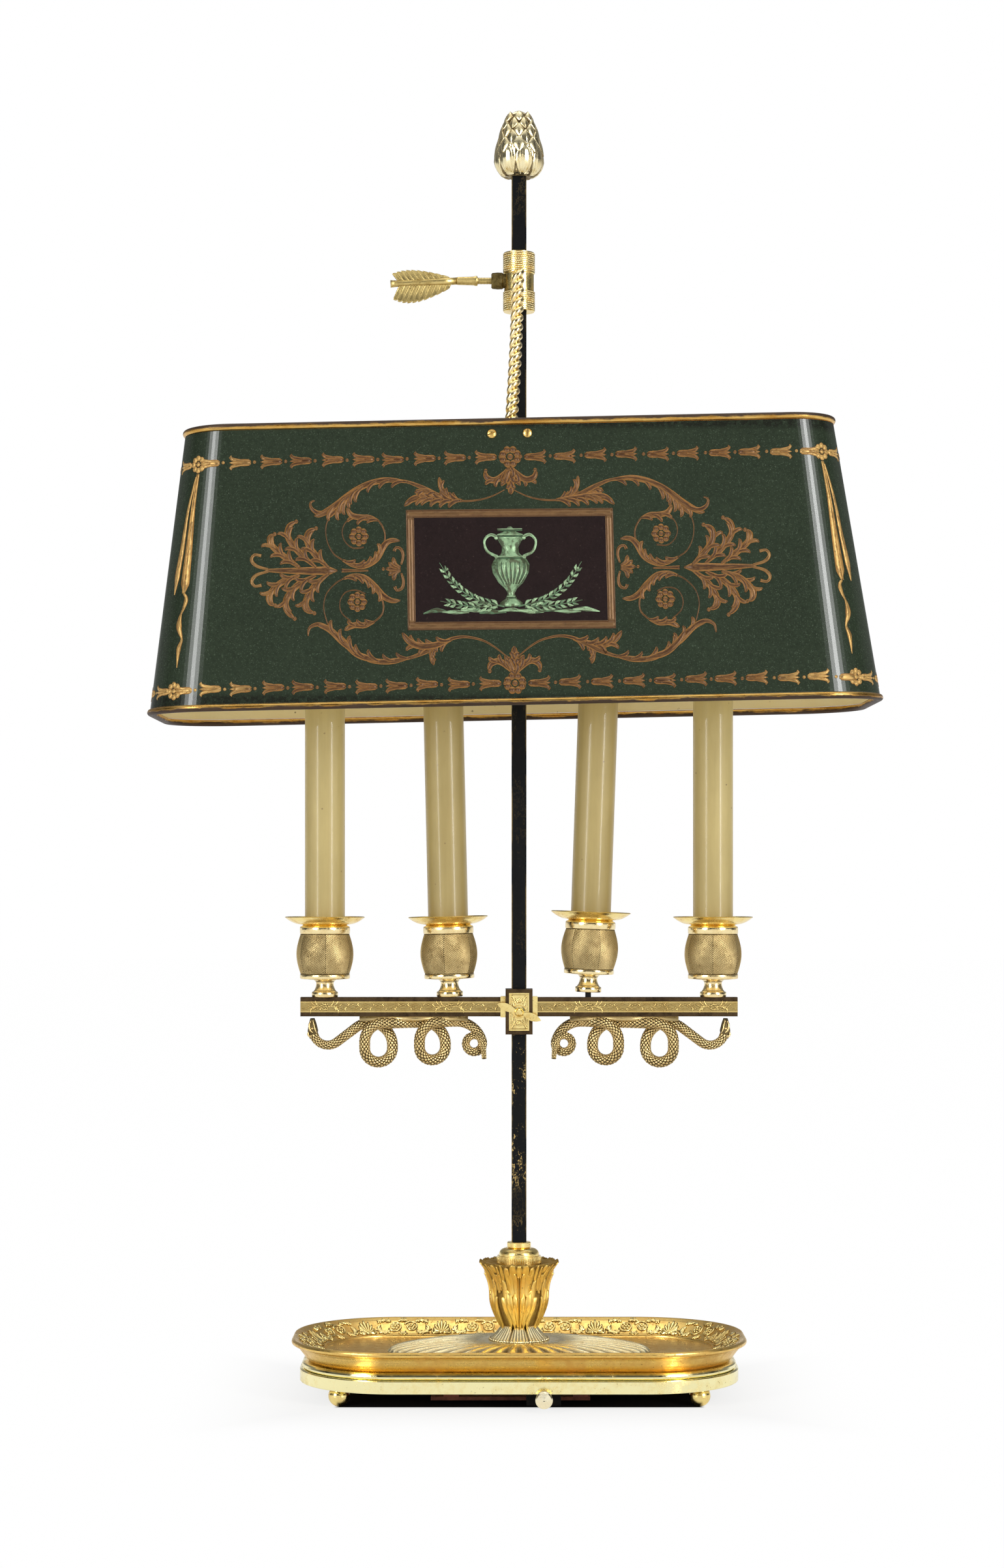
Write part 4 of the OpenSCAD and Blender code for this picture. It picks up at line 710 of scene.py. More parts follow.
def paintWall(brush, border, middle):  # border follows the rims, middle is the group round the panel
    random.seed(11)
    for sign in (-1, 1):
        def both(points):
            return [(-sign * s, t) for s, t in points]
        brush.surface = border
        paintBorder(brush, sign)
        brush.surface = middle
        brush.rosette(sign * 89.4, 15, ornament["rosette"], 8, 0.5)
        brush.rosette(sign * 90.8, -23.5, ornament["rosette"], 8, 0.5)
        for path, width, *rest in scrolls:
            if isinstance(width, tuple):
                brush.stroke(both(path), width, *rest)
            else:
                lobes, tone, side, reach = rest
                brush.leaf(both(path), width, lobes, tone, -sign * side, reach)
        # the plume towards the end of the wall
        for side in (-1, 1):
            brush.stroke(both([(s, -4.5 + side * t) for s, t in plumeEnd]),
                         ((0, 0.6), (0.5, 1.0), (0.85, 0.7), (1, 0.9)), 0.55)
        for k, path in enumerate(plumes):
            brush.leaf(both(path), 3.0, 3, 0.48 + 0.03 * (k % 3), reach=0.95, tip=0.62, start=0.16)
            brush.dot(*both(path)[-1], 1.15, 0.55)
        # the small palmette beside the panel
        for k in range(5):
            a = radians(-56 + 28 * k)
            tip = (-65.4 - (8.4 - 0.8 * abs(k - 2)) * cos(a), -4.3 + 8.2 * sin(a))
            bend = (-65.2 - 4.4 * cos(a * 0.8), -4.3 + 4.0 * sin(a * 0.8))
            brush.stroke(both([(-65, -4.3 + 1.2 * sin(a)), bend, tip]),
                         ((0, 0.5), (0.6, 1.4), (0.9, 1.1), (1, 0.3)), 0.35 + 0.06 * k)
        for side in (-1, 1):
            brush.stroke(both([(s, -4.3 + side * t) for s, t in palmetteCurl]),
                         ((0, 0.5), (0.5, 0.9), (0.85, 0.7), (1, 0.9)))
        brush.dot(sign * 75.2, -4.3, 0.9, 0.5)
        # ribbons that hang from the corner rosettes
        brush.surface = border
        brush.stroke(both(ribbon), ((0, 0.5), (0.3, 1.5), (0.7, 2.6), (0.92, 3.2), (1, 0.5)), 0.95)
        fold = both([(s - 1.1, t) for s, t in ribbon])
        brush.stroke(fold, ((0, 0.2), (0.5, 0.4), (0.9, 0.5), (1, 0.1)), -0.2, 2.0)
        brush.stroke(both(innerRibbon), ((0, 0.4), (0.4, 1.2), (0.85, 2.3), (1, 0.3)), 0.8)
        brush.stroke(both(ribbonTail), ((0, 0.7), (0.12, 1.3), (0.28, 0.5), (0.45, 2.1), (0.62, 0.6),
                                        (0.76, 1.5), (1, 0.2)), 0.95)
    # sprays over and under the panel
    for (base, way), (rim, *rest) in zip(ornament["sprays"], ornament["borders"]):
        def grown(side, *points):
            return [(side * s, base + way * t) for s, t in points]
        brush.rosette(0, rim, 6.6, 8, 0.5, 0.4)
        for side in (-1, 1):
            brush.leaf(grown(side, (0, 0), (4.6, 5.4), (9.6, 8.0), (13.8, 6.2), (14.8, 2.4)), 3.0, 4, 0.45,
                       side * way, 0.75)
            brush.leaf(grown(side, (0, 0), (2.6, 6.4), (5.6, 11.4)), 2.6, 2, reach=0.7)
            brush.dot(*grown(side, (14.4, 2.2))[0], 1.1)
        brush.leaf(grown(1, (0, 0), (0, 8), (0, 16.5)), 3.4, 3, 0.45, reach=0.8)
    # a sprig on the narrow ends of the sheet
    for middle in (-ornament["endMiddle"], ornament["endMiddle"]):
        brush.leaf([(middle, -34), (middle, -10), (middle, 16)], 2.6, 5, 0.5)
        brush.rosette(middle, -40, 5.6, 8, 0.5)
        for lean in (-1, 1) if middle > 0 else (1, -1):
            brush.leaf([(middle, -36), (middle + lean * 6, -24), (middle + lean * 9, -6)], 2.2, 4, 0.5)


def layFrame(brush):  # the gilt frame of the panel with its thin red lines
    (w, h), band, t0 = ornament["panel"], ornament["band"], ornament["panelHeight"]
    for grow, half, tone, lift in ((-band / 2, band / 2, 0.5, 1.0), (0.0, 0.28, 0.0, 1.5),
                                   (-band, 0.28, 0.0, 1.5)):
        x, t = w / 2 + grow, h / 2 + grow
        corners = [(-x, t0 - t), (x, t0 - t), (x, t0 + t), (-x, t0 + t)]
        for k in range(4):
            (s0, a0), (s1, a1) = corners[k], corners[(k + 1) % 4]
            flat = a0 == a1
            run = (1 if s1 > s0 else -1, 0) if flat else (0, 1 if a1 > a0 else -1)
            reach = half if flat else -half
            path = [(mixed(s0, s1, q) + run[0] * reach * (2 * q - 1),
                     mixed(a0, a1, q) + run[1] * reach * (2 * q - 1)) for q in (0, 0.25, 0.5, 0.75, 1)]
            brush.stroke(path, (half, half), tone, lift)


def paintUrn(brush):  # a two handled urn between laurel sprays, in pale green on the dark ground
    t0 = ornament["panelHeight"] - 27
    outline = ((0, 6.5), (0.05, 6.7), (0.09, 3.6), (0.16, 2.0), (0.22, 3.4), (0.3, 7.4), (0.42, 10.6),
               (0.52, 11.3), (0.6, 9.2), (0.66, 5.2), (0.74, 4.8), (0.82, 6.8), (0.86, 8.4), (0.9, 8.0),
               (0.93, 4.0), (0.97, 2.2), (1, 0.8))
    brush.stroke([(0, t0 + 5), (0, t0 + 28), (0, t0 + 52)], outline, 0.55)
    for x in (2.6 * k for k in range(-3, 4)):
        for shift, rise, widths, tone in ((0, 18, (0.2, 0.55, 0.2), 0.05),
                                          (1, 18.4, (0.12, 0.4, 0.12), 0.95)):
            rib = [(x * 0.55 + shift, t0 + rise), (x + 1.1 * shift, t0 + 25),
                   (x * 1.02 + 1.1 * shift, t0 + 31)]
            brush.stroke(rib, widths, tone, 2)
    for y, half in ((33.4, 8.2), (49.6, 7.4), (10, 2.6), (46.3, 7.6)):
        for rise, widths, tone in ((0, (0.3, 0.45, 0.3), 0.08), (0.9, (0.2, 0.35, 0.2), 0.95)):
            brush.stroke([(s, t0 + y + rise) for s in (-half, 0, half)], widths, tone, 2.2)
    for sign in (-1, 1):
        def at(*points):
            return [(sign * s, t0 + t) for s, t in points]
        handle = at((8, 34.5), (13.5, 37.5), (15.2, 43.5), (11.6, 47.2), (7.4, 45.6))
        brush.stroke(handle, (0.9, 0.75, 1.0), 0.6, 1.6)
        brush.dot(sign * 8.2, t0 + 45.4, 1.2, 0.8, 1.8)
        brush.dot(sign * 8.2, t0 + 34.2, 1.2, 0.7, 1.8)
        for stem, lobes in ((at((4, 5), (20, 9), (33, 18), (42, 31)), 11),
                            (at((8, 4.5), (26, 5.5), (42, 8.5)), 8)):
            brush.stroke(stem, (0.55, 0.2), 0.3)
            path = curve(stem, 0.8)
            for k in range(lobes):
                i = int((0.1 + 0.86 * k / lobes) * (len(path) - 2))
                (s, t), (s1, t1) = path[i], path[i + 1]
                heading, size = atan2(t1 - t, s1 - s), 5.4 - 0.14 * k
                for side in (-1, 1):
                    a = heading + side * radians(42)
                    leaf = [(s + cos(turn) * out, t + sin(turn) * out) for turn, out in
                            ((a, 0), (a, size * 0.5), (a - side * 0.25, size))]
                    tone = 0.35 + 0.5 * ((k + side) % 3) / 2
                    brush.stroke(leaf, ((0, 0.15), (0.45, 1.05), (1, 0.08)), tone, 1.2)
                if k % 3 == 1:
                    brush.dot(s + 1.2, t + 1.6, 0.75, 0.9, 1.6)
    for k in range(9):  # the ground they stand on
        x = -44 + 11 * k
        brush.stroke([(x - 8, t0 + 1.2 + (k % 3) * 0.9), (x, t0 + 3.2 - (k % 2) * 1.2), (x + 8, t0 + 1.6)],
                     (0.4, 1.5, 0.3), 0.3 + 0.25 * (k % 3), 0.8)


def layGround(surface):  # the dark field inside the frame
    ground, columns, lift = Shape(), 24, 0.05
    (w, h), band, t0 = ornament["panel"], ornament["band"], ornament["panelHeight"]
    x, y = w / 2 - band / 2, h / 2 - band / 2
    for i in range(columns):
        s0, s1 = mixed(-x, x, i / columns), mixed(-x, x, (i + 1) / columns)
        ground.ring([surface(s, t0 + t, lift) for s, t in ((s0, -y), (s1, -y), (s1, y), (s0, y))], 0.5)
        ground.faces.append(tuple(range(4 * i, 4 * i + 4)))
    return ground


tole = {  # dark, pale, outline and painted-highlight colour, then how strong the outline is and how streaky the paint
    "frameOchre": ((100, 74, 46), (138, 103, 64), (96, 54, 32), (190, 146, 86), 0.5, 0.35),
    "ochreGold": ((66, 44, 26), (136, 96, 54), (176, 124, 62), (240, 196, 116), 0.85),
    "figureGreen": ((70, 104, 74), (168, 202, 156), (44, 66, 46), (160, 196, 150), 0.4)}
for name, values in tole.items():
    paints[name] = tolePaint(name, *values)
paints["panelGround"] = panelPaint()
for side, turned in (("front", False), ("back", True)):
    border, (scale, shift, lean) = onShade(turned), ornament["middle"][side]

    def surface(s, t, lift):
        return border(s * scale + shift, t - s * lean, lift)
    gold, green, rim = (Brush(surface, lift, False, step=step)
                        for lift, step in ((0.1, 1.3), (0.13, 1.1), (0.12, 1.6)))
    paintWall(gold, border, surface)
    layFrame(rim)
    paintUrn(green)
    layers = {"Frame": (rim.shape, "frameOchre"), "Ornament": (gold.shape, "ochreGold"),
              "Urn": (green.shape, "figureGreen"), "PanelGround": (layGround(surface), "panelGround")}
    for kind, (shape, finish) in layers.items():
        shape.piece(side + kind, finish, "shade", "green_lacquer")
print("shade painted:", len(gold.shape.faces), "faces a side")


class Tree(Paint):  # a geometry node tree with named inputs, built with the same helpers
    def __init__(self, name, inputs):
        self.tree = bpy.data.node_groups.new(name, "GeometryNodeTree")
        for key, kind in {"Geometry": "Geometry", **inputs, "Finish": "Material"}.items():
            self.tree.interface.new_socket(key, in_out="INPUT", socket_type="NodeSocket" + kind)
        self.tree.interface.new_socket("Geometry", in_out="OUTPUT", socket_type="NodeSocketGeometry")
        self.entry = self.tree.nodes.new("NodeGroupInput")

    def given(self, name):
        return Wire(self, self.entry.outputs[name])

    def scaled(self, vector, scale):
        return self.node("ShaderNodeVectorMath", {"operation": "SCALE"}, {0: vector, "Scale": scale})

    def end(self, geometry):
        solid = self.node("GeometryNodeRealizeInstances", inputs={"Geometry": geometry})
        painted = self.node("GeometryNodeSetMaterial",
                            inputs={"Geometry": solid, "Material": self.given("Finish")})
        self.node("NodeGroupOutput", inputs={"Geometry": painted})

    def grow(self, start, **values):  # runs the tree on a mesh or curve and gives back the plain mesh
        holder = link(start.name + "Source", start)
        modifier = holder.modifiers.new("grow", "NODES")
        modifier.node_group = self.tree
        for item in self.tree.interface.items_tree:
            if item.in_out == "INPUT" and item.name in values:
                modifier[item.identifier] = values[item.name]
        shown = holder.evaluated_get(bpy.context.evaluated_depsgraph_get())
        mesh = bpy.data.meshes.new_from_object(shown)
        bpy.data.objects.remove(holder)
        return mesh


def makeScatter():  # one small shape stands at every point, turned and sized by the point's own values
    tree = Tree("scatter", {"Piece": "Object", "Size": "Float"})
    info = tree.node("GeometryNodeObjectInfo", inputs={"Object": tree.given("Piece")}, out="Geometry")
    turn, grow = (tree.node("GeometryNodeInputNamedAttribute", {"data_type": "FLOAT_VECTOR"}, {"Name": name})
                  for name in ("turn", "grow"))
    rotation = tree.node("FunctionNodeEulerToRotation", inputs={0: turn})
    tree.end(tree.node("GeometryNodeInstanceOnPoints", inputs={
        "Points": tree.given("Geometry"), "Instance": info, "Rotation": rotation,
        "Scale": tree.scaled(grow, tree.given("Size"))}))
    return tree


def makeTwist():  # round strands that wind about a curve
    tree = Tree("twist", {"Strand": "Float", "Offset": "Float", "Pitch": "Float"})
    even = tree.node("GeometryNodeResampleCurve", {"mode": "LENGTH"},
                     {"Curve": tree.given("Geometry"), "Length": 0.7 * mm})
    gone = tree.node("GeometryNodeSplineParameter", out="Length")
    tangent, normal = tree.node("GeometryNodeInputTangent"), tree.node("GeometryNodeInputNormal")
    strands = tree.node("GeometryNodeJoinGeometry")
    ring = tree.node("GeometryNodeCurvePrimitiveCircle",
                     inputs={"Resolution": 14, "Radius": tree.given("Strand") / 2})
    for phase in (0.0, pi):
        angle = gone / tree.given("Pitch") * (2 * pi) + phase
        way = tree.node("ShaderNodeVectorRotate", inputs={"Vector": normal, "Axis": tangent, "Angle": angle})
        shift = tree.scaled(way, tree.given("Offset"))
        moved = tree.node("GeometryNodeSetPosition", inputs={"Geometry": even, "Offset": shift})
        skin = tree.node("GeometryNodeCurveToMesh",
                         inputs={"Curve": moved, "Profile Curve": ring, "Fill Caps": True})
        tree.tree.links.new(skin.socket, strands.socket.node.inputs["Geometry"])
    tree.end(strands)
    return tree


scatter, twist = makeScatter(), makeTwist()
upright = Vector((0, 0, 1))


def scatterAt(name, shape, places, finish, body, size=1.0):  # a place: point, outward, upward, stretch
    small = bpy.data.meshes.new(name + "Unit")
    small.from_pydata(shape.points, [], shape.faces)
    crest = small.attributes.new("crest", "FLOAT", "POINT")
    crest.data.foreach_set("value", [value[0] for value in shape.values])
    unit = bpy.data.objects.new(name + "Unit", small)
    points = bpy.data.meshes.new(name)
    points.from_pydata([place[0] * mm for place in places], [], [])
    for key in ("turn", "grow"):
        points.attributes.new(key, "FLOAT_VECTOR", "POINT")
    turn, grow = (points.attributes[key].data for key in ("turn", "grow"))
    for i, (point, outward, upward, stretch) in enumerate(places):
        z = outward.normalized()
        x = upward.cross(z).normalized()
        turn[i].vector = Matrix((x, z.cross(x), z)).transposed().to_euler()
        grow[i].vector = stretch
    mesh = scatter.grow(points, Piece=unit, Size=size * mm, Finish=paints[finish])
    bpy.data.objects.remove(unit)
    addObject(name, mesh, finish, body)


def domeUnit(sides, levels):  # a half ball of radius 1 on a low foot
    unit, rises = Shape(), [pi / 2 * k / levels for k in range(levels)]
    foot = [spoke(a, 1, -0.25) for a in fan(sides)]
    unit.tube([foot, *([spoke(a, cos(rise), sin(rise)) for a in fan(sides)] for rise in rises)],
              [0.0, *(sin(rise) for rise in rises)])
    return unit


stemSizes = {"floor": 25, "moundTop": 32, "skirtTop": 41, "rodTop": 729.5, "hole": 4.3}
finialSizes = {  # the outline gives shares of the height and of half the width
    "height": 40.5, "width": 31, "leaves": 8, "rows": 5, "scales": 9,
    "outline": ((0, 0.5), (0.05, 0.79), (0.15, 0.95), (0.25, 1), (0.38, 0.96), (0.55, 0.83), (0.72, 0.68),
                (0.85, 0.53), (0.94, 0.4), (1, 0.19))}


def turnedSkin(name, outline, around, bend, finish, body, slot, replaced=(), turn=None):
    # the outline is a closed loop of (radius, height, tag), clockwise seen with the axis on the left
    shape, turn, rings = Shape(), turn or Matrix(), []
    for a in fan(around):
        bent = [bend(a, k, *point) for k, point in enumerate(outline)]
        rings.append(shape.ring([turn @ spoke(a, r, z) for r, z, crest in bent],
                                [crest for r, z, crest in bent]))
    for low, high in zip(rings, rings[1:] + rings[:1]):
        shape.bridge(low, high)
    shape.piece(name, finish, body, slot, replaced)


def makeFinial():
    size, z0 = finialSizes, stemSizes["rodTop"]
    r0, h = size["width"] / 2, size["height"]

    def radius(t):
        return r0 * between(size["outline"], t)
    cone = [(0.86 * radius(t), z0 + 0.2 + (h - 2.4) * t, 0) for t in (k / 24 for k in range(25))]
    outline = [(2.6, z0, 0), (6.5, z0, 0), *cone, (0.3, z0 + h - 2.0, 0), (0.3, z0 + 13, 0),
               (2.6, z0 + 12.6, 0)]
    turnedSkin("finialCore", outline, 48, lambda a, k, r, z, tag: (r, z, 0.1), "paleGilt", "stand",
               "gilt_brass", ("finial",))
    scale, rings, values = Shape(), [], []  # a ridged lozenge; x across, y up, z out
    across = (-1, -0.6, -0.12, 0.12, 0.6, 1)
    for v in (k / 8 for k in range(9)):
        half = max(0.03, 1 - abs(2 * v - 1) ** 1.15)
        out = 0.55 + 0.45 * sin(pi * (0.1 + 0.7 * v))
        rings.append([Vector((half * x, 2 * v - 1, out - 0.75 * (half * x) ** 2 - 0.2 * abs(x)))
                      for x in across]
                     + [Vector((half * x, 2 * v - 1, -0.9)) for x in (0.9, -0.9)])
        values.append([(1 - 0.9 * abs(x) ** 4) * min(1.0, 3.5 * half) for x in across] + [0, 0])
    scale.tube(rings, values)
    places = []
    for k in range(size["rows"]):
        t = 0.42 + 0.44 * k / (size["rows"] - 1)
        r = radius(t) * 0.87
        slope = (radius(t + 0.02) - radius(t - 0.02)) * 0.9 / (0.04 * h)
        count = size["scales"] - 2 * (k == size["rows"] - 1)
        for a in (turn - pi / 2 for turn in fan(count, 0.5 * (k % 2))):
            places.append((spoke(a, r, z0 + h * t), spoke(a, 1, -slope), spoke(a, slope, 1),
                           (pi * r / count * 1.1, 5.4 - 0.45 * k, 1.9)))
    for a in fan(5):
        places.append((spoke(a, 2.2, z0 + h - 3.3), spoke(a, 0.5, 1), spoke(a, -1, 0.5), (3.2, 3.6, 2.2)))
    scatterAt("finialScales", scale, places, "creamGilt", "stand")
    leaf, rings, values = Shape(), [], []  # a standing leaf with grooves; x across, y up, z out
    across = [(x, abs(cos(2.5 * pi * x))) for x in (j / 8 - 1 for j in range(17))]
    for v in (k / 12 for k in range(13)):
        half = between(((0, 0.35), (0.15, 0.72), (0.4, 1.0), (0.65, 0.94), (0.85, 0.62), (0.95, 0.34),
                        (1, 0.05)), v)
        belly = between(((0, 0.3), (0.1, 0.62), (0.3, 0.9), (0.5, 1.0), (0.75, 0.96), (1, 0.8)), v)
        rings.append([Vector((half * x, v, belly - 0.24 * (half * x) ** 2 - 0.035 * (1 - rib)))
                      for x, rib in across]
                     + [Vector((half * x, v, -0.1)) for x in (0.9, -0.9)])
        values.append([min(1.0, 0.3 + 0.8 * rib) * (1 - x ** 8) for x, rib in across] + [0, 0])
    leaf.tube(rings, values)
    places = [(spoke(a, out, z0 + lift), spoke(a), upright, (5.7, tall, 8.8))
              for row, (out, lift, tall) in enumerate(((6.5, 0.25, 17.5), (5.8, 0.8, 20.5)))
              for a in fan(size["leaves"], 0.5 * row + 0.3)]
    scatterAt("finialLeaves", leaf, places, "creamGilt", "stand")


vaseSizes = {  # foot, waist and waistHeight are shares; well is the hollow inside: radius and height
    "lip": 24.5, "height": 38.5, "leaves": 8, "foot": 0.42, "waist": 0.67, "waistHeight": 0.46,
    "well": ((19, 78.4), (14.2, 77.4))}
frontLobes = (  # height, path and half widths; s in degrees from the rib, t in mm above the foot
    (1.9, [(4, 0.3), (6, 9), (8.5, 17), (8, 20.6)], ((0, 3.8), (0.4, 5.9), (0.8, 6.4), (1, 1.2))),
    (1.8, [(11, 0.3), (16, 8), (22, 16), (25, 22.4)], ((0, 5.7), (0.4, 8.4), (0.75, 9), (1, 1))),
    (1.5, [(22, 0.3), (29, 8), (35, 14.4), (38.5, 17.4)], ((0, 6.5), (0.4, 7.8), (0.75, 7), (1, 1))),
    (1.35, [(6, 17), (7.5, 26), (8, 33)], ((0, 5.7), (0.5, 6.7), (0.8, 5.9), (1, 1))),
    (1.25, [(14, 18), (18, 27), (20, 32.4), (17.5, 35.6)], ((0, 7.6), (0.5, 8.4), (0.8, 7), (1, 1))),
    (1.05, [(27, 15), (31, 23), (33, 28.4)], ((0, 5.7), (0.5, 6.7), (0.8, 5.6), (1, 1))),
    (0.9, [(10, 31), (13, 37.6)], ((0, 7.6), (0.6, 7), (1, 2))))
backLobes = ((0.7, [(4, 22), (6, 30), (8.5, 36.6)], (3, 4.4, 1.2)),
             (0.5, [(12, 26), (14, 32), (16, 37.4)], (3, 4.4, 1.4)))


def vaseRadius(t):  # t is the share of the height
    lip, bend = vaseSizes["lip"], vaseSizes["waistHeight"]
    foot, waist = lip * vaseSizes["foot"], lip * vaseSizes["waist"]
    if t < bend:
        return mixed(foot, waist, sin(pi / 2 * max(t, 0.0) / bend))
    return waist + (lip - waist) * ((t - bend) / (1 - bend)) ** 2.2


def onVase(s, t, lift):  # s is degrees from the front, t mm above the foot
    h = vaseSizes["height"]
    share = min(1.0, t / h)
    slope = (vaseRadius(share + 0.01) - vaseRadius(share - 0.01)) / (0.02 * h) if share < 0.99 else 1.6
    tilt = atan(slope)
    return spoke(radians(s - 90), vaseRadius(share) - 0.5 + lift * cos(tilt),
                 stemSizes["skirtTop"] + share * h - lift * sin(tilt))


def makeVase():
    size, z0, hole = vaseSizes, stemSizes["skirtTop"], stemSizes["hole"]
    h, top = size["height"], z0 + size["height"]
    bell = [(vaseRadius(share) - 0.6, z0 + h * share, share) for share in (k / 30 for k in range(31))]
    well = [(r, z, -1) for r, z in (*size["well"], (hole, size["well"][-1][1]))]
    outline = [(hole, z0 + 0.05, -1), *bell, (size["lip"] - 1.8, top - 0.6, 1.0),
               (size["lip"] - 3.4, top - 1.4, -1), *well]

    def bend(a, k, r, z, tag):  # the lip is notched between the leaves and finely toothed
        notch, teeth = (abs(sin(size["leaves"] * pitch * (a + pi / 2))) for pitch in (1, 3.5))
        return r, z - max(0.0, tag) ** 8 * ((1 - notch) ** 2 * 1.4 + 0.35 * teeth), 0.12
    turnedSkin("vaseBell", outline, 288, bend, "deepGilt", "stand", "deep_gilt", ("leaf_vase",))
    brush = Brush(onVase, 1.0, True, sink=0.5, step=0.9)
    for k in range(size["leaves"]):
        centre, front = 360 / size["leaves"] * k, k % 2 == 0
        keel = [(centre, 30 if front else 33), (centre, h - 0.8)]
        brush.stroke(keel, ((0, 5), (0.6, 6), (1, 2.4)), 0.5, 0.85)
        for lift, path, widths in frontLobes if front else backLobes:
            for side in (-1, 1):
                brush.stroke([(centre + side * s, t) for s, t in path], widths, 0.5, lift)
                if len(path) > 3:
                    vein = [(centre + side * (s + 0.4), t) for s, t in path[:-1]]
                    brush.stroke(vein, (0.5, 0.8, 0.4), 0.5, lift + 0.18)
        for side in (-1, 1):
            brush.stroke([(centre + side * 1.7, 0.4 if front else 20), (centre + side * 1.5, 0.82 * h)],
                         (1.5, 1.0), 0.5, 2.1 if front else 0.8)
    brush.shape.piece("vaseLeaves", "deepGilt", "stand", "deep_gilt")


skirtSizes = {"foot": 18.25, "top": 10.2, "leaves": 8, "ribs": 48, "beads": 17.5}


def makeSkirt():
    size, z0, z1, hole, n = skirtSizes, stemSizes["moundTop"], stemSizes["skirtTop"], stemSizes["hole"], 14
    slope = [(mixed(size["foot"], size["top"], (k / n) ** 0.8), z0 + 0.3 + (z1 - z0 - 0.3) * k / n, 1 - k / n)
             for k in range(n + 1)]
    outline = [(hole, z0 + 0.05, -1), (size["foot"] - 1.6, z0 + 0.05, -1), *slope, (hole, z1, -1)]

    def bend(a, k, r, z, tag):  # shell leaves, each a fan of fine ribs
        if tag < 0:
            return r, z, 0.2
        pleat, gap = abs(sin(a * size["ribs"] / 2)), (1 - abs(cos(a * size["leaves"] / 2))) ** 3
        return (r - 0.8 * (1 - pleat) * (0.3 + 0.7 * tag) - 1.3 * gap, z - 2.2 * gap * (1 - tag) ** 2,
                (0.2 + 0.8 * pleat) * (1 - 0.8 * gap))
    turnedSkin("pleatedSkirt", outline, size["ribs"] * 8, bend, "creamGilt", "stand", "gilt_brass",
               ("leaf_skirt",))
    beads = [(spoke(a, size["beads"], z0 + 0.6), spoke(a, 1, 0.5), upright, (1, 1, 1))
             for a in fan(size["ribs"])]
    scatterAt("skirtBeads", domeUnit(8, 3), beads, "creamGilt", "stand", 0.8)


moundSizes = {"flutes": 44, "flat": 19.25, "halfLength": 79.0, "halfDepth": 45.0, "height": 7.0}


def makeMound():
    size, z0, hole, per, levels = moundSizes, stemSizes["floor"], stemSizes["hole"], 12, 26
    flat, h = size["flat"], size["height"]

    def flute(a, crest, s):  # s runs from the flat top at 0 to the foot at 1
        ease = (1 - cos(pi * min(1.0, s * 1.6))) / 2
        fall = 2.9 * ease * (1 - crest ** 0.8) + (max(0.0, s - 0.93) / 0.07) ** 2 * 1.5 * (0.4 + 0.6 * crest)
        grow = s - 0.012 * (1 - crest) * (s > 0.9)
        x, y = ((flat + (half - flat) * grow) for half in (size["halfLength"], size["halfDepth"]))
        return (Vector((x * cos(a), y * sin(a), z0 + h * (1 - 0.72 * s ** 3) - fall)),
                min(1.0, 0.04 + 0.96 * crest ** 1.7 * ease + 0.5 * (1 - ease)))
    turns = [(a, abs(sin(pi * j / per))) for j, a in enumerate(fan(size["flutes"] * per))]
    rows = [[(spoke(a, hole, z), 0.2) for a, crest in turns] for z in (z0 + 0.02, z0 + h - 0.05)]
    rows += [[flute(a, crest, level / levels) for a, crest in turns] for level in range(levels + 1)]
    rows.append([(Vector((point.x, point.y, z0 + 0.02)), 0.0) for point, crest in rows[-1]])
    shape = Shape()
    rings = [shape.ring([point for point, crest in row], [crest for point, crest in row]) for row in rows]
    for low, high in zip(rings, rings[1:] + rings[:1]):
        shape.bridge(high, low)
    shape.piece("flutedMound", "creamGilt", "stand", "gilt_brass", ("gadrooned_mound",))


traySizes = {"length": 271, "depth": 150, "corner": 62, "outer": 4.2, "run": 13.0, "top": 34.0, "drop": 7.8,
             "units": 14}
trayStraight = (traySizes["length"] / 2 - traySizes["corner"], traySizes["depth"] / 2 - traySizes["corner"])
trayMiddle = traySizes["corner"] - traySizes["outer"] - traySizes["run"] / 2
trayQuarter = sum(trayStraight) + trayMiddle * pi / 2


def onTray(s, t, lift):  # s runs round the border, t goes from its middle outwards and up, in mm
    size, q = traySizes, 0.5 - t / 15.2
    offset = size["corner"] - size["outer"] - size["run"] * q
    z = size["top"] - size["drop"] * (0.6 * q + 0.4 * (1 - cos(pi * q)) / 2)
    lap, s = divmod(s, 2 * trayQuarter)
    flip = s > trayQuarter
    x, y, a = cornered(2 * trayQuarter - s if flip else s, *trayStraight, offset, trayMiddle)
    point = Vector((x, y, z)) + Vector((-sin(a) * 0.51, cos(a) * 0.51, 0.86)) * lift
    if flip:
        point.y = -point.y
    if lap % 2:
        point.x, point.y = -point.x, -point.y
    return point


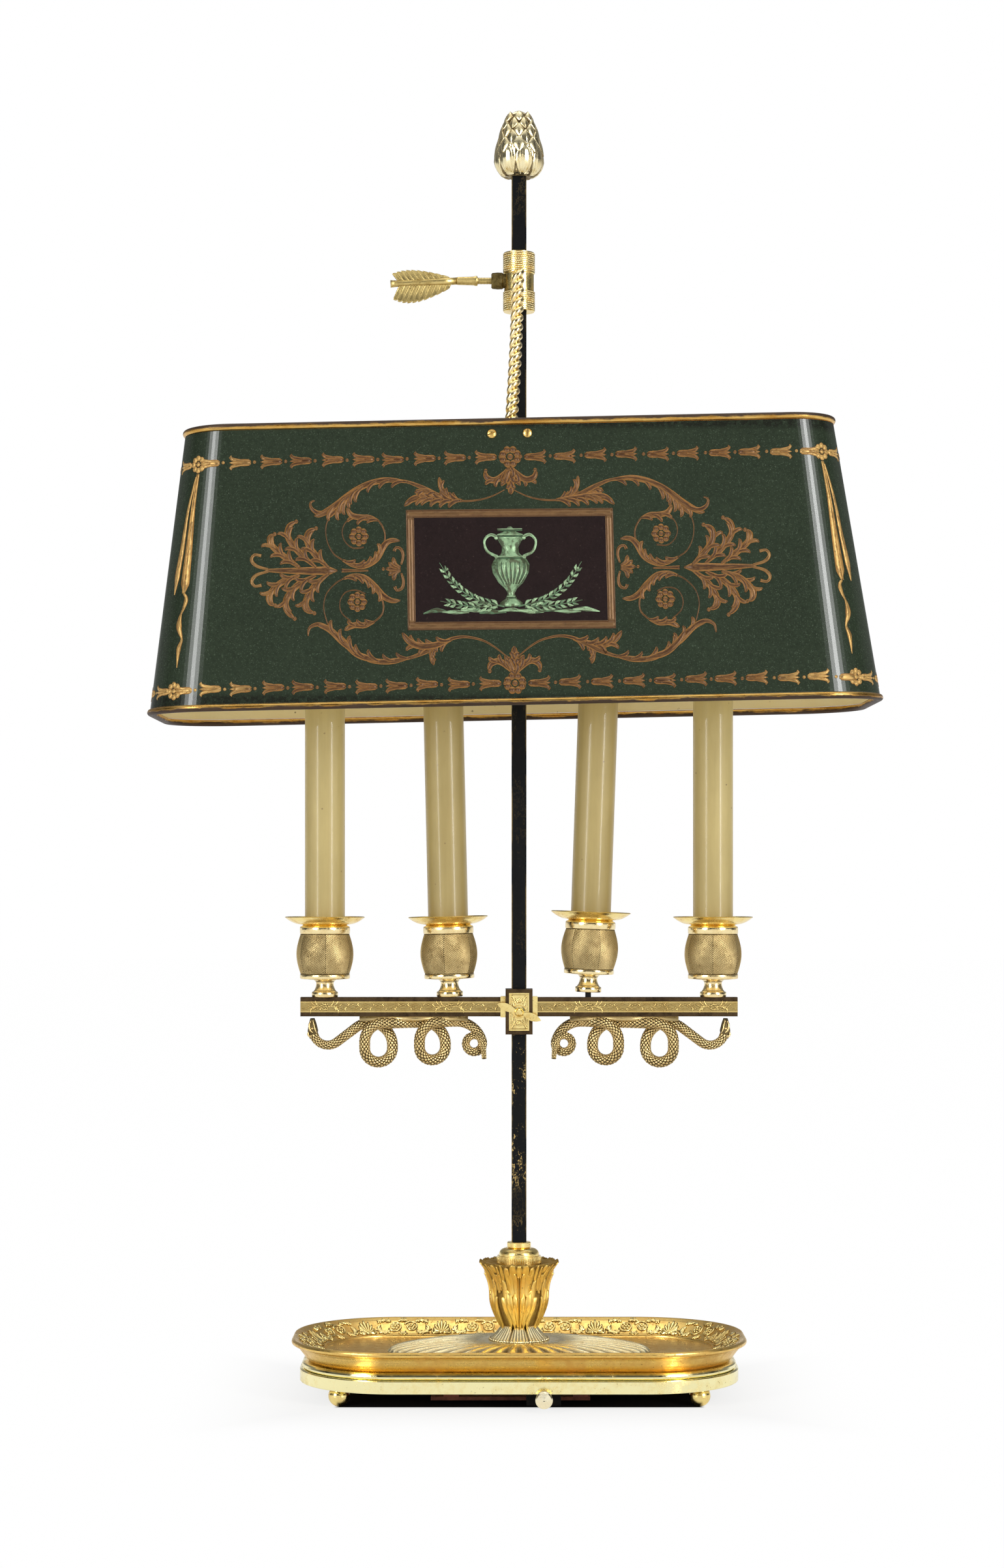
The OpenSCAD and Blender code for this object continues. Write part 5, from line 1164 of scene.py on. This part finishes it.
def chaseTray():  # palmettes and paired scrolls with rosettes, run round the border
    brush = Brush(onTray, 0.85, True, sink=0.25, step=1.3)
    pitch = 4 * trayQuarter / traySizes["units"]
    leaves = (([(3.4, -3.2), (6.4, -5.6), (9.4, -4.6), (10.8, -1.0), (8.8, 1.0)], 2.1, 4, 0.75),
              ([(2.4, 4.3), (6.0, 5.7), (9.2, 4.9), (10.2, 2.9)], 1.8, 3, 0.7),
              ([(-2.0, 4.6), (-4.2, 5.9), (-5.0, 6.4)], 1.5, 2, 1.0),
              ([(-3.2, -4.2), (-4.6, -5.8), (-5.0, -6.6)], 1.4, 2, 1.0))
    for s0 in (pitch * k for k in range(traySizes["units"])):
        for j in range(9):
            a, length = radians(-88 + 22 * j), 10.6 - 0.8 * abs(j - 4)
            brush.stroke([(s0 + 0.9 * sin(a), -5.0),
                          (s0 + length * 0.5 * sin(a), -5.0 + length * 0.62 * cos(a)),
                          (s0 + length * 0.68 * sin(a), -5.0 + length * cos(a))],
                         ((0, 0.3), (0.75, 1.05), (1, 0.45)))
        brush.dot(s0, -5.2, 1.3, 0.6, 1.2)
        for side in (-1, 1):
            stem = [(s0 + side * x, y) for x, y in ((1.0, -6.2), (4.4, -6.3), (6.0, -4.7), (4.9, -3.4))]
            brush.stroke(stem, (0.3, 0.6, 0.6))
            middle = s0 + side * (pitch / 2 - 5.0)
            turns = [(4.4 - 0.16 * j, side * (0.4 + j * pi / 6)) for j in range(14)]
            brush.stroke([(middle + r * cos(a), 0.1 + r * sin(a)) for r, a in turns],
                         ((0, 0.75), (0.6, 0.55), (1, 0.4)), 0.5, 0.9)
            brush.rosette(middle, 0.1, 2.7, 6, 0.6)
            for path, width, lobes, reach in leaves:
                brush.leaf([(middle - side * x, y) for x, y in path], width, lobes, reach=reach)
    brush.shape.piece("trayChasing", "giltRelief", "stand", "gilt_brass")


twistSizes = {  # sag bends the line, by a power for each axis
    "top": (-0.6, -13.4, 670.5), "foot": (-5.69, -46.2697, 562.0), "sag": (1.5, 1.15, 1),
    "strand": 4.1, "offset": 1.85, "pitch": 12}


def makeTwistedArm():
    size = twistSizes
    points = [Vector([mixed(top, foot, t ** sag)
                      for top, foot, sag in zip(size["top"], size["foot"], size["sag"])])
              for t in (k / 60 for k in range(61))]
    line = bpy.data.curves.new("armLine", "CURVE")
    line.dimensions = "3D"
    spline = line.splines.new("POLY")
    spline.points.add(len(points) - 1)
    for point, place in zip(spline.points, points):
        point.co = (*(place * mm), 1)
    mesh = twist.grow(line, Strand=size["strand"] * mm, Offset=size["offset"] * mm, Pitch=size["pitch"] * mm,
                      Finish=paints["paleGilt"])
    crest = mesh.attributes.new("crest", "FLOAT", "POINT")
    away = [min((vertex.co / mm - point).length for point in points) for vertex in mesh.vertices]
    crest.data.foreach_set("value", [max(0.0, min(1.0, (reach - 0.6) / 2.2)) for reach in away])
    addObject("twistedArm", mesh, "paleGilt", "shade", ("twisted_arm",))


makeFinial()
makeVase()
makeSkirt()
makeMound()
chaseTray()
makeTwistedArm()
print("stem and base ready")


armSizes = {"bar": 225.9, "barHeight": 11.5, "barDepth": 8, "inner": 41.5, "outer": 116.5, "end": 131}
cupSizes = {  # lean, lift and seam are those of each cup, in degrees, mm and degrees
    "lean": (0, -1.3, 2, 0), "lift": (0, 0.25, 3, 0), "seam": (5, -9, 20, -4), "chevrons": 3,
    "columns": 68, "rows": 83, "low": 13.8, "tall": 24.1, "radius": 14.6, "belly": 2.5, "groove": 0.42}
candleX = (-armSizes["outer"], -armSizes["inner"], armSizes["inner"], armSizes["outer"])


def slab(shape, low, high, crest):
    corners = ((low[0], low[1]), (high[0], low[1]), (high[0], high[1]), (low[0], high[1]))
    shape.tube([[Vector((x, y, z)) for x, y in corners] for z in (low[2], high[2])], crest)


def makeCups():
    size = cupSizes
    low, tall, rows, half = size["low"], size["tall"], size["rows"], size["columns"]
    around = 2 * half * size["chevrons"]
    turned = [(2.55, 0.05), (7.45, 0.05), (7.85, 0.4), (7.85, 2.9), (7.45, 3.3), (6.95, 3.4),
              *((5.2 + 1.7 * (1 - k / 10) ** 2.5, 3.4 + 5.6 * k / 10) for k in range(1, 10)),
              (5.4, 9.2), (6.7, 10.4), (14.0, 10.9), (14.75, 11.1), (15.0, 11.4), (15.0, 13.4), (14.8, 13.7),
              (13.0, 13.8), (13.0, 37.9), (14.6, 37.9), (15.05, 38.3), (15.05, 41.6), (14.9, 42.0),
              (14.4, 42.5), (13.6, 42.8), (13.2, 43.6), (12.2, 43.6), (12.2, 24.6), (0.4, 24.6), (0.4, 15),
              (2.55, 15)]
    bulge = [(size["radius"] + size["belly"] * sin(pi * k / rows), low + tall * k / rows, k)
             for k in range(rows + 1)]
    barrel = [(12.6, low, -1), *bulge, (12.6, low + tall, -1)]

    def bend(a, k, r, z, tag):  # ridges that climb and fall in chevrons
        if tag < 0:
            return r, z, 0.0
        column = round(a / (2 * pi) * around) % (2 * half)
        run = min(column, 2 * half - column)
        seam = 0.35 * (run in (0, half)) + 0.2 * ((tag + 2 * run) % 7 == 0)
        ridge = (0.0, 0.72, 1.0, 0.72)[(tag - run) % 4] * (1 - seam)
        edge = min(1.0, min(tag, rows - tag) / 2)
        return r - size["groove"] * (1 - ridge) * edge, z, ridge * edge
    for i, x in enumerate(candleX):
        seat = armSizes["bar"] + armSizes["barHeight"] + size["lift"][i]
        turn = Matrix.Translation((x, 0, seat)) @ Matrix.Rotation(radians(size["lean"][i]), 4, "Y")
        turnedSkin("turnedCup%d" % (i + 1), [(r, z, 0) for r, z in turned], 72,
                   lambda a, k, r, z, tag: (r, z, 0.1 if k in (6, 15) else 0.85), "paleGilt", "arms",
                   "gilt_brass", ("candle_cup_%d" % (i + 1),), turn)
        turnedSkin("cupBarrel%d" % (i + 1), barrel, around, bend, "knurledGilt", "arms", "antique_gilt",
                   turn=turn @ Matrix.Rotation(radians(size["seam"][i] - 90), 4, "Z"))


def layPath(points, radii, shape, around=14, crest=0.1):  # round tube along a path; gives back its frames
    frames, normal, rings = [], Vector((0, 1, 0)), []
    for i, p in enumerate(points):
        way = (points[min(i + 1, len(points) - 1)] - points[max(i - 1, 0)]).normalized()
        normal = (normal - way * normal.dot(way)).normalized()
        side = way.cross(normal)
        frames.append((p, way, normal, side))
        rings.append([p + (normal * cos(a) + side * sin(a)) * radii[i] for a in fan(around)])
    shape.tube(rings, crest)
    return frames


serpentSizes = {"start": (-124.0, -1.2, -88.0), "thick": 5.88, "side": 3.2, "scaleLength": 2.3,
                "scalesRound": 9, "firstScale": 10.5, "strip": (30.6, 95.6), "stripThick": 2.9}
serpentWalk = (  # length in mm, turn in degrees and the side the body moves to
    (7.5, 0, 0), (19.6, 125, 0), (14.5, 0, 1), (30, -127, 1), (1.7, 0, 1), (25.8, -180, -1),
    (4, 0, -1), (18, -90, -1), (4, 0, -1), (15.8, 0, 1), (4, 0, 1), (20.4, -90, 1), (1.7, 0, 1),
    (24.2, -180, -1), (3.5, 0, -1), (18.4, -90, -1), (10.5, 0, 0.8), (20.9, -75, 0.8),
    (14, -160, 0), (14.8, -170, -0.8), (4.2, -40, -0.8), (9, 0, -0.6))
serpentBody = ((0, 0.45), (0.012, 0.8), (0.028, 1.1), (0.045, 0.75), (0.1, 0.85), (0.25, 1), (0.72, 1),
               (0.86, 0.82), (0.95, 0.6), (1, 0.3))
headLines = (  # along the head, out from it, half its width there, then the line's own radius
    ((1.2, 0.9, 1.6, 0.35), (4.0, 1.9, 2.6, 0.6), (7.2, 1.4, 3.0, 0.55), (8.6, -0.2, 2.9, 0.3)),
    ((1.0, -0.2, 1.7, 0.25), (3.6, -0.9, 2.4, 0.35), (6.6, -1.4, 3.0, 0.45), (9.0, -2.4, 2.6, 0.3)),
    ((8.0, 2.6, 1.8, 0.3), (9.6, 2.9, 1.7, 0.6), (10.8, 2.0, 2.1, 0.6), (10.2, 0.8, 2.5, 0.3)))


def serpentPath(way):  # way is -1 for the mirrored one
    x, z, heading = serpentSizes["start"]
    z, across = z + armSizes["bar"], 0.0
    path = [Vector((x * way, 0, z))]
    for length, turn, side in serpentWalk:
        n = round(length)
        for k in range(n):
            middle = radians(heading + turn / n / 2)
            x, z = x + length / n * cos(middle), z + length / n * sin(middle)
            heading += turn / n
            y = across + (side - across) * (1 - cos(pi * (k + 1) / n)) / 2
            path.append(Vector((x * way, y * serpentSizes["side"], z)))
        across = side
    return path


def makeSerpents():
    size, top = serpentSizes, armSizes["bar"]
    unit, pitch = Shape(), size["scaleLength"] * 0.62  # one scale: a rounded lozenge lifted at its rear end
    unit.tube([[Vector((cos(a) * 0.9 * share, sin(a) * share + back, z)) for a in fan(8)]
               for share, back, z in ((1, 0, -0.1), (0.6, 0.05, 0.62), (0.2, 0.15, 0.8))], [0.0, 0.8, 1.0])
    for side, name in ((1, "Left"), (-1, "Right")):
        path, body = serpentPath(side), Shape()
        n = len(path)
        radii = [size["thick"] / 2 * between(serpentBody, i / (n - 1)) for i in range(n)]
        frames = layPath(path, radii, body)
        x0, x1 = sorted(-x * side for x in size["strip"])
        slab(body, (x0, -4, top - size["stripThick"]), (x1, 4, top), 0.75)
        body.piece("serpentBody" + name, "antiqueGilt", "arms", "antique_gilt", ("serpent_" + name.lower(),))
        places, gone, row = [], 0.0, 0
        for i in range(1, n - 1):
            length = (path[i] - path[i - 1]).length
            while row * pitch + size["firstScale"] < gone + length:
                share = (row * pitch + size["firstScale"] - gone) / length
                row += 1
                p, way, normal, across = (frames[i - 1][k].lerp(frames[i][k], share) for k in range(4))
                r = mixed(radii[i - 1], radii[i], share)
                wide = pi * r / size["scalesRound"] * 1.02
                for a in fan(size["scalesRound"], 0.5 * (row % 2)):
                    out = normal * cos(a) + across * sin(a)
                    spot = p + out * r * 0.97
                    if spot.z <= top - 0.5 or out.z <= 0.2:  # none grow into the bar
                        places.append((spot, out - way * 0.2, -way, (wide, size["scaleLength"] * 0.6, 0.62)))
            gone += length
        scatterAt("serpentScales" + name, unit, places, "antiqueGilt", "arms")
        head, tip, way = Shape(), path[0], (path[9] - path[0]).normalized()
        outward = Vector((-side, 0, 0))
        for face in (-1, 1):
            for line in (curve(points, 0.5) for points in headLines):
                layPath([tip + way * d + outward * out + Vector((0, face * y, 0)) for d, out, y, r in line],
                        [point[3] for point in line], head, 8, 0.9)
        head.piece("serpentHead" + name, "antiqueGilt", "arms", "antique_gilt")
        brow = tip + way * 6.1 + outward * 0.2
        eyes = [(brow + Vector((0, face * 2.6, 0)), Vector((0, face, 0)), upright, (1, 1, 1))
                for face in (-1, 1)]
        scatterAt("serpentEyes" + name, domeUnit(12, 4), eyes, "antiqueGilt", "arms", 0.85)


friezeSizes = {"half": 3.22, "paintedShadeNear": 11.15, "plate": 0.4, "border": 0.7, "borderThick": 0.8, "wave": 15.0,
               "rise": 1.35, "start": 13, "last": 129}


def makeFriezes():
    size, z0, depth = friezeSizes, armSizes["bar"] + armSizes["barHeight"] / 2, armSizes["barDepth"] / 2
    half, start, border = size["half"], size["start"], size["border"]
    vine = [(start + k * 1.5, size["rise"] * sin(2 * pi * (k * 1.5) / size["wave"])) for k in range(79)]
    for side, name in ((-1, "Left"), (1, "Right")):
        plate = Shape()
        x0, x1 = sorted((size["paintedShadeNear"] * side, armSizes["end"] * side))
        for face in (-1, 1):
            for low, high, kind, crest in ((-half, half, "plate", 0.58),
                                           (-half, -half + border, "borderThick", 0.95),
                                           (half - border, half, "borderThick", 0.95)):
                y0, y1 = sorted((depth * face, (depth + size[kind]) * face))
                slab(plate, (x0, y0, z0 + low), (x1, y1, z0 + high), crest)
        plate.piece("friezePlate" + name, "chasedGilt", "arms", "gilt_brass", ("frieze_" + name.lower(),),
                    smooth=False)

        def lay(points):
            return [(x * side, z) for x, z in points]
        for face, label in ((-1, "Front"), (1, "Back")):
            def onBar(s, t, lift):
                return Vector((s, face * (depth + size["plate"] + lift), z0 + t))
            brush = Brush(onBar, 0.42, True, sink=0.15, step=0.8)
            for part in (vine[:16], vine[22:66], vine[72:]):
                brush.stroke(lay(part), (0.3, 0.3))
            for k in range(15):  # leaves and buds on the vine, left out at the rosettes
                x, up = start + size["wave"] * (0.25 + 0.5 * k), 1 if k % 2 else -1
                if x > size["last"] or min(abs(x - armSizes["inner"]), abs(x - armSizes["outer"])) < 4.5:
                    continue
                for dx, dz in ((-1.4, 0.55), (0.1, 1.25), (1.5, 0.5)):
                    brush.dot((x + dx) * side, up * dz + 0.2 * up, 0.55, 0.6, 1.3)
                for middle, points in ((0.55, ((-3.6, 0.1), (-2.4, 1.5), (-3.4, 2.1))),
                                       (0.5, ((3.4, 0.4), (2.6, 1.6), (3.8, 2.1)))):
                    brush.stroke(lay([(x + dx, up * dz) for dx, dz in points]), (0.2, middle, 0.2))
            for x in (armSizes["inner"], armSizes["outer"]):
                brush.rosette(x * side, 0, 2.5, 7, 0.6)
                for end in (-1, 1):
                    brush.leaf(lay([(x + end * dx, dz) for dx, dz in ((2.4, 0), (5.0, 0.5), (7.6, -0.4))]),
                               1.1, 3, reach=1.2)
            brush.shape.piece("frieze%s%s" % (label, name), "chasedGilt", "arms", "gilt_brass")


plaqueSizes = {"face": -9.75, "middle": 228.85, "x": 4.9, "z": 10.2}


def onPlaque(s, t, lift):
    return Vector((s, plaqueSizes["face"] - lift, plaqueSizes["middle"] + t))


def chasePlaque():
    brush = Brush(onPlaque, 0.38, True, sink=0.1, step=0.6)
    edgeX, edgeZ = plaqueSizes["x"], plaqueSizes["z"]
    for x, z in ((1, 1), (-1, 1), (1, -1), (-1, -1)):
        brush.stroke([(x * 4.6, z * 9.9), (x * 3.0, z * 7.2), (x * 2.2, z * 4.6)], (0.7, 0.35))
    for z in (-1, 1):
        for x in (-2.2, -1.1, 0, 1.1, 2.2):
            brush.stroke([(x * 0.4, z * 5.2), (x * 0.8, z * 7.0), (x * 1.25, z * 8.6 - z * abs(x) * 0.3)],
                         ((0, 0.25), (0.7, 0.6), (1, 0.2)))
        for x in (-1, 1):
            brush.stroke([(x * 4.2, z * 1.2), (x * 3.3, z * 2.6), (x * 4.2, z * 6.8)], (0.2, 0.55, 0.2))
    for x in (-edgeX, edgeX):
        brush.stroke([(x, -edgeZ), (x, 0), (x, edgeZ)], (0.22, 0.22))
    for z in (-edgeZ, edgeZ):
        brush.stroke([(-edgeX, z), (0, z), (edgeX, z)], (0.22, 0.22))
    brush.shape.piece("plaqueChasing", "chasedGilt", "arms", "gilt_brass")


featherSizes = {"key": 667.509, "root": 36.75, "length": 41, "height": 20, "barbs": 10, "thick": 1.5,
                "droop": 2.5, "sweep": 6.48, "start": 3.0}


def makeFeather():
    size = featherSizes
    along = Matrix.Translation((0, 0, size["key"])) @ Matrix.Rotation(radians(-90), 4, "Y")
    thread = [(0.3, 5.75, 0), *((1.75 + 0.35 * (k % 2), 5.75 + k * 0.45, 0) for k in range(43)),
              (2.9, 25.0, 0), (3.0, 25.9, 0), (2.6, 27.5, 0), (2.35, 36.8, 0), (2.25, 37.2, 0),
              (0.3, 37.2, 0)]

    def bend(a, k, r, z, tag):  # the crests of the thread are bright
        return r, z, 0.2 + 0.6 * (k % 2) if k < 44 else 0.8
    turnedSkin("featherScrew", thread, 24, bend, "oliveBrass", "shade_key", "olive_brass", ("feather_key",),
               along)
    root = Matrix.Translation((-size["root"], 0, size["key"]))
    root = root @ Matrix.Rotation(radians(-size["droop"]), 4, "Y")
    shape, spine = Shape(), ((2.3, 40.4), (2.0, 37), (1.7, 30), (1.9, 20), (2.1, 10), (2.2, 0.0))
    rings = [[root @ Vector((-x, r * 0.8 * cos(a), -r * sin(a))) for a in fan(16)] for r, x in spine]
    shape.tube(rings, 0.85)
    across, steps = (0.0, 0.2, 0.4, 0.6, 0.8, 0.94, 1.0), size["barbs"] * 8
    for side, share in ((1, 0.40), (-1, 0.62)):  # a narrow vane above the spine and a wide one under it
        rings, values, tall = [], [], share * size["height"]
        for i in range(steps + 1):
            u = i / steps
            cut = (u * size["barbs"]) % 1.0
            ridge = sin(pi * cut) ** 0.6 if 0 < i < steps else 0.0
            out = tall * (0.16 + 0.84 * sin(pi * min(1.0, 0.08 + 0.66 * u)))
            out = out * (0.95 + 0.05 * ridge) * (0.94 + 0.06 * cut)
            front, back = [], []
            for v in across:
                x = size["start"] + u * (size["length"] - size["start"] - size["sweep"])
                x += size["sweep"] * out / tall * v ** 0.85
                bow, half = 0.5 * sin(pi * v), size["thick"] / 2 * (1 - 0.45 * v) * (0.62 + 0.38 * ridge)
                front.append(root @ Vector((-x, bow - half - 0.1, side * v * out)))
                back.append(root @ Vector((-x, bow + half, side * v * out)))
            rings.append((front + back[::-1])[::-side])
            value = [0.15 + 0.85 * ridge * (0.6 + 0.4 * v) for v in across]
            values.append(value + value[::-1])
        shape.tube(rings[::-1], values[::-1])
    shape.piece("featherVanes", "oliveBrass", "shade_key", "olive_brass")


collarSizes = {"bands": (649.9, 672.9), "rows": 9, "around": 52, "pitch": 1.28, "radius": 9.32}


def makeCollarBands():
    size = collarSizes
    places = [(spoke(a, size["radius"], low + row * size["pitch"]), spoke(a), upright, (0.56, 0.5, 0.35))
              for low in size["bands"] for row in range(size["rows"])
              for a in fan(size["around"], 0.5 * (row % 2))]
    scatterAt("collarBeads", domeUnit(6, 2), places, "paleGilt", "shade")


makeCups()
makeSerpents()
makeFriezes()
makeFeather()
makeCollarBands()
chasePlaque()
print("candle arm and keys ready")

print("done")
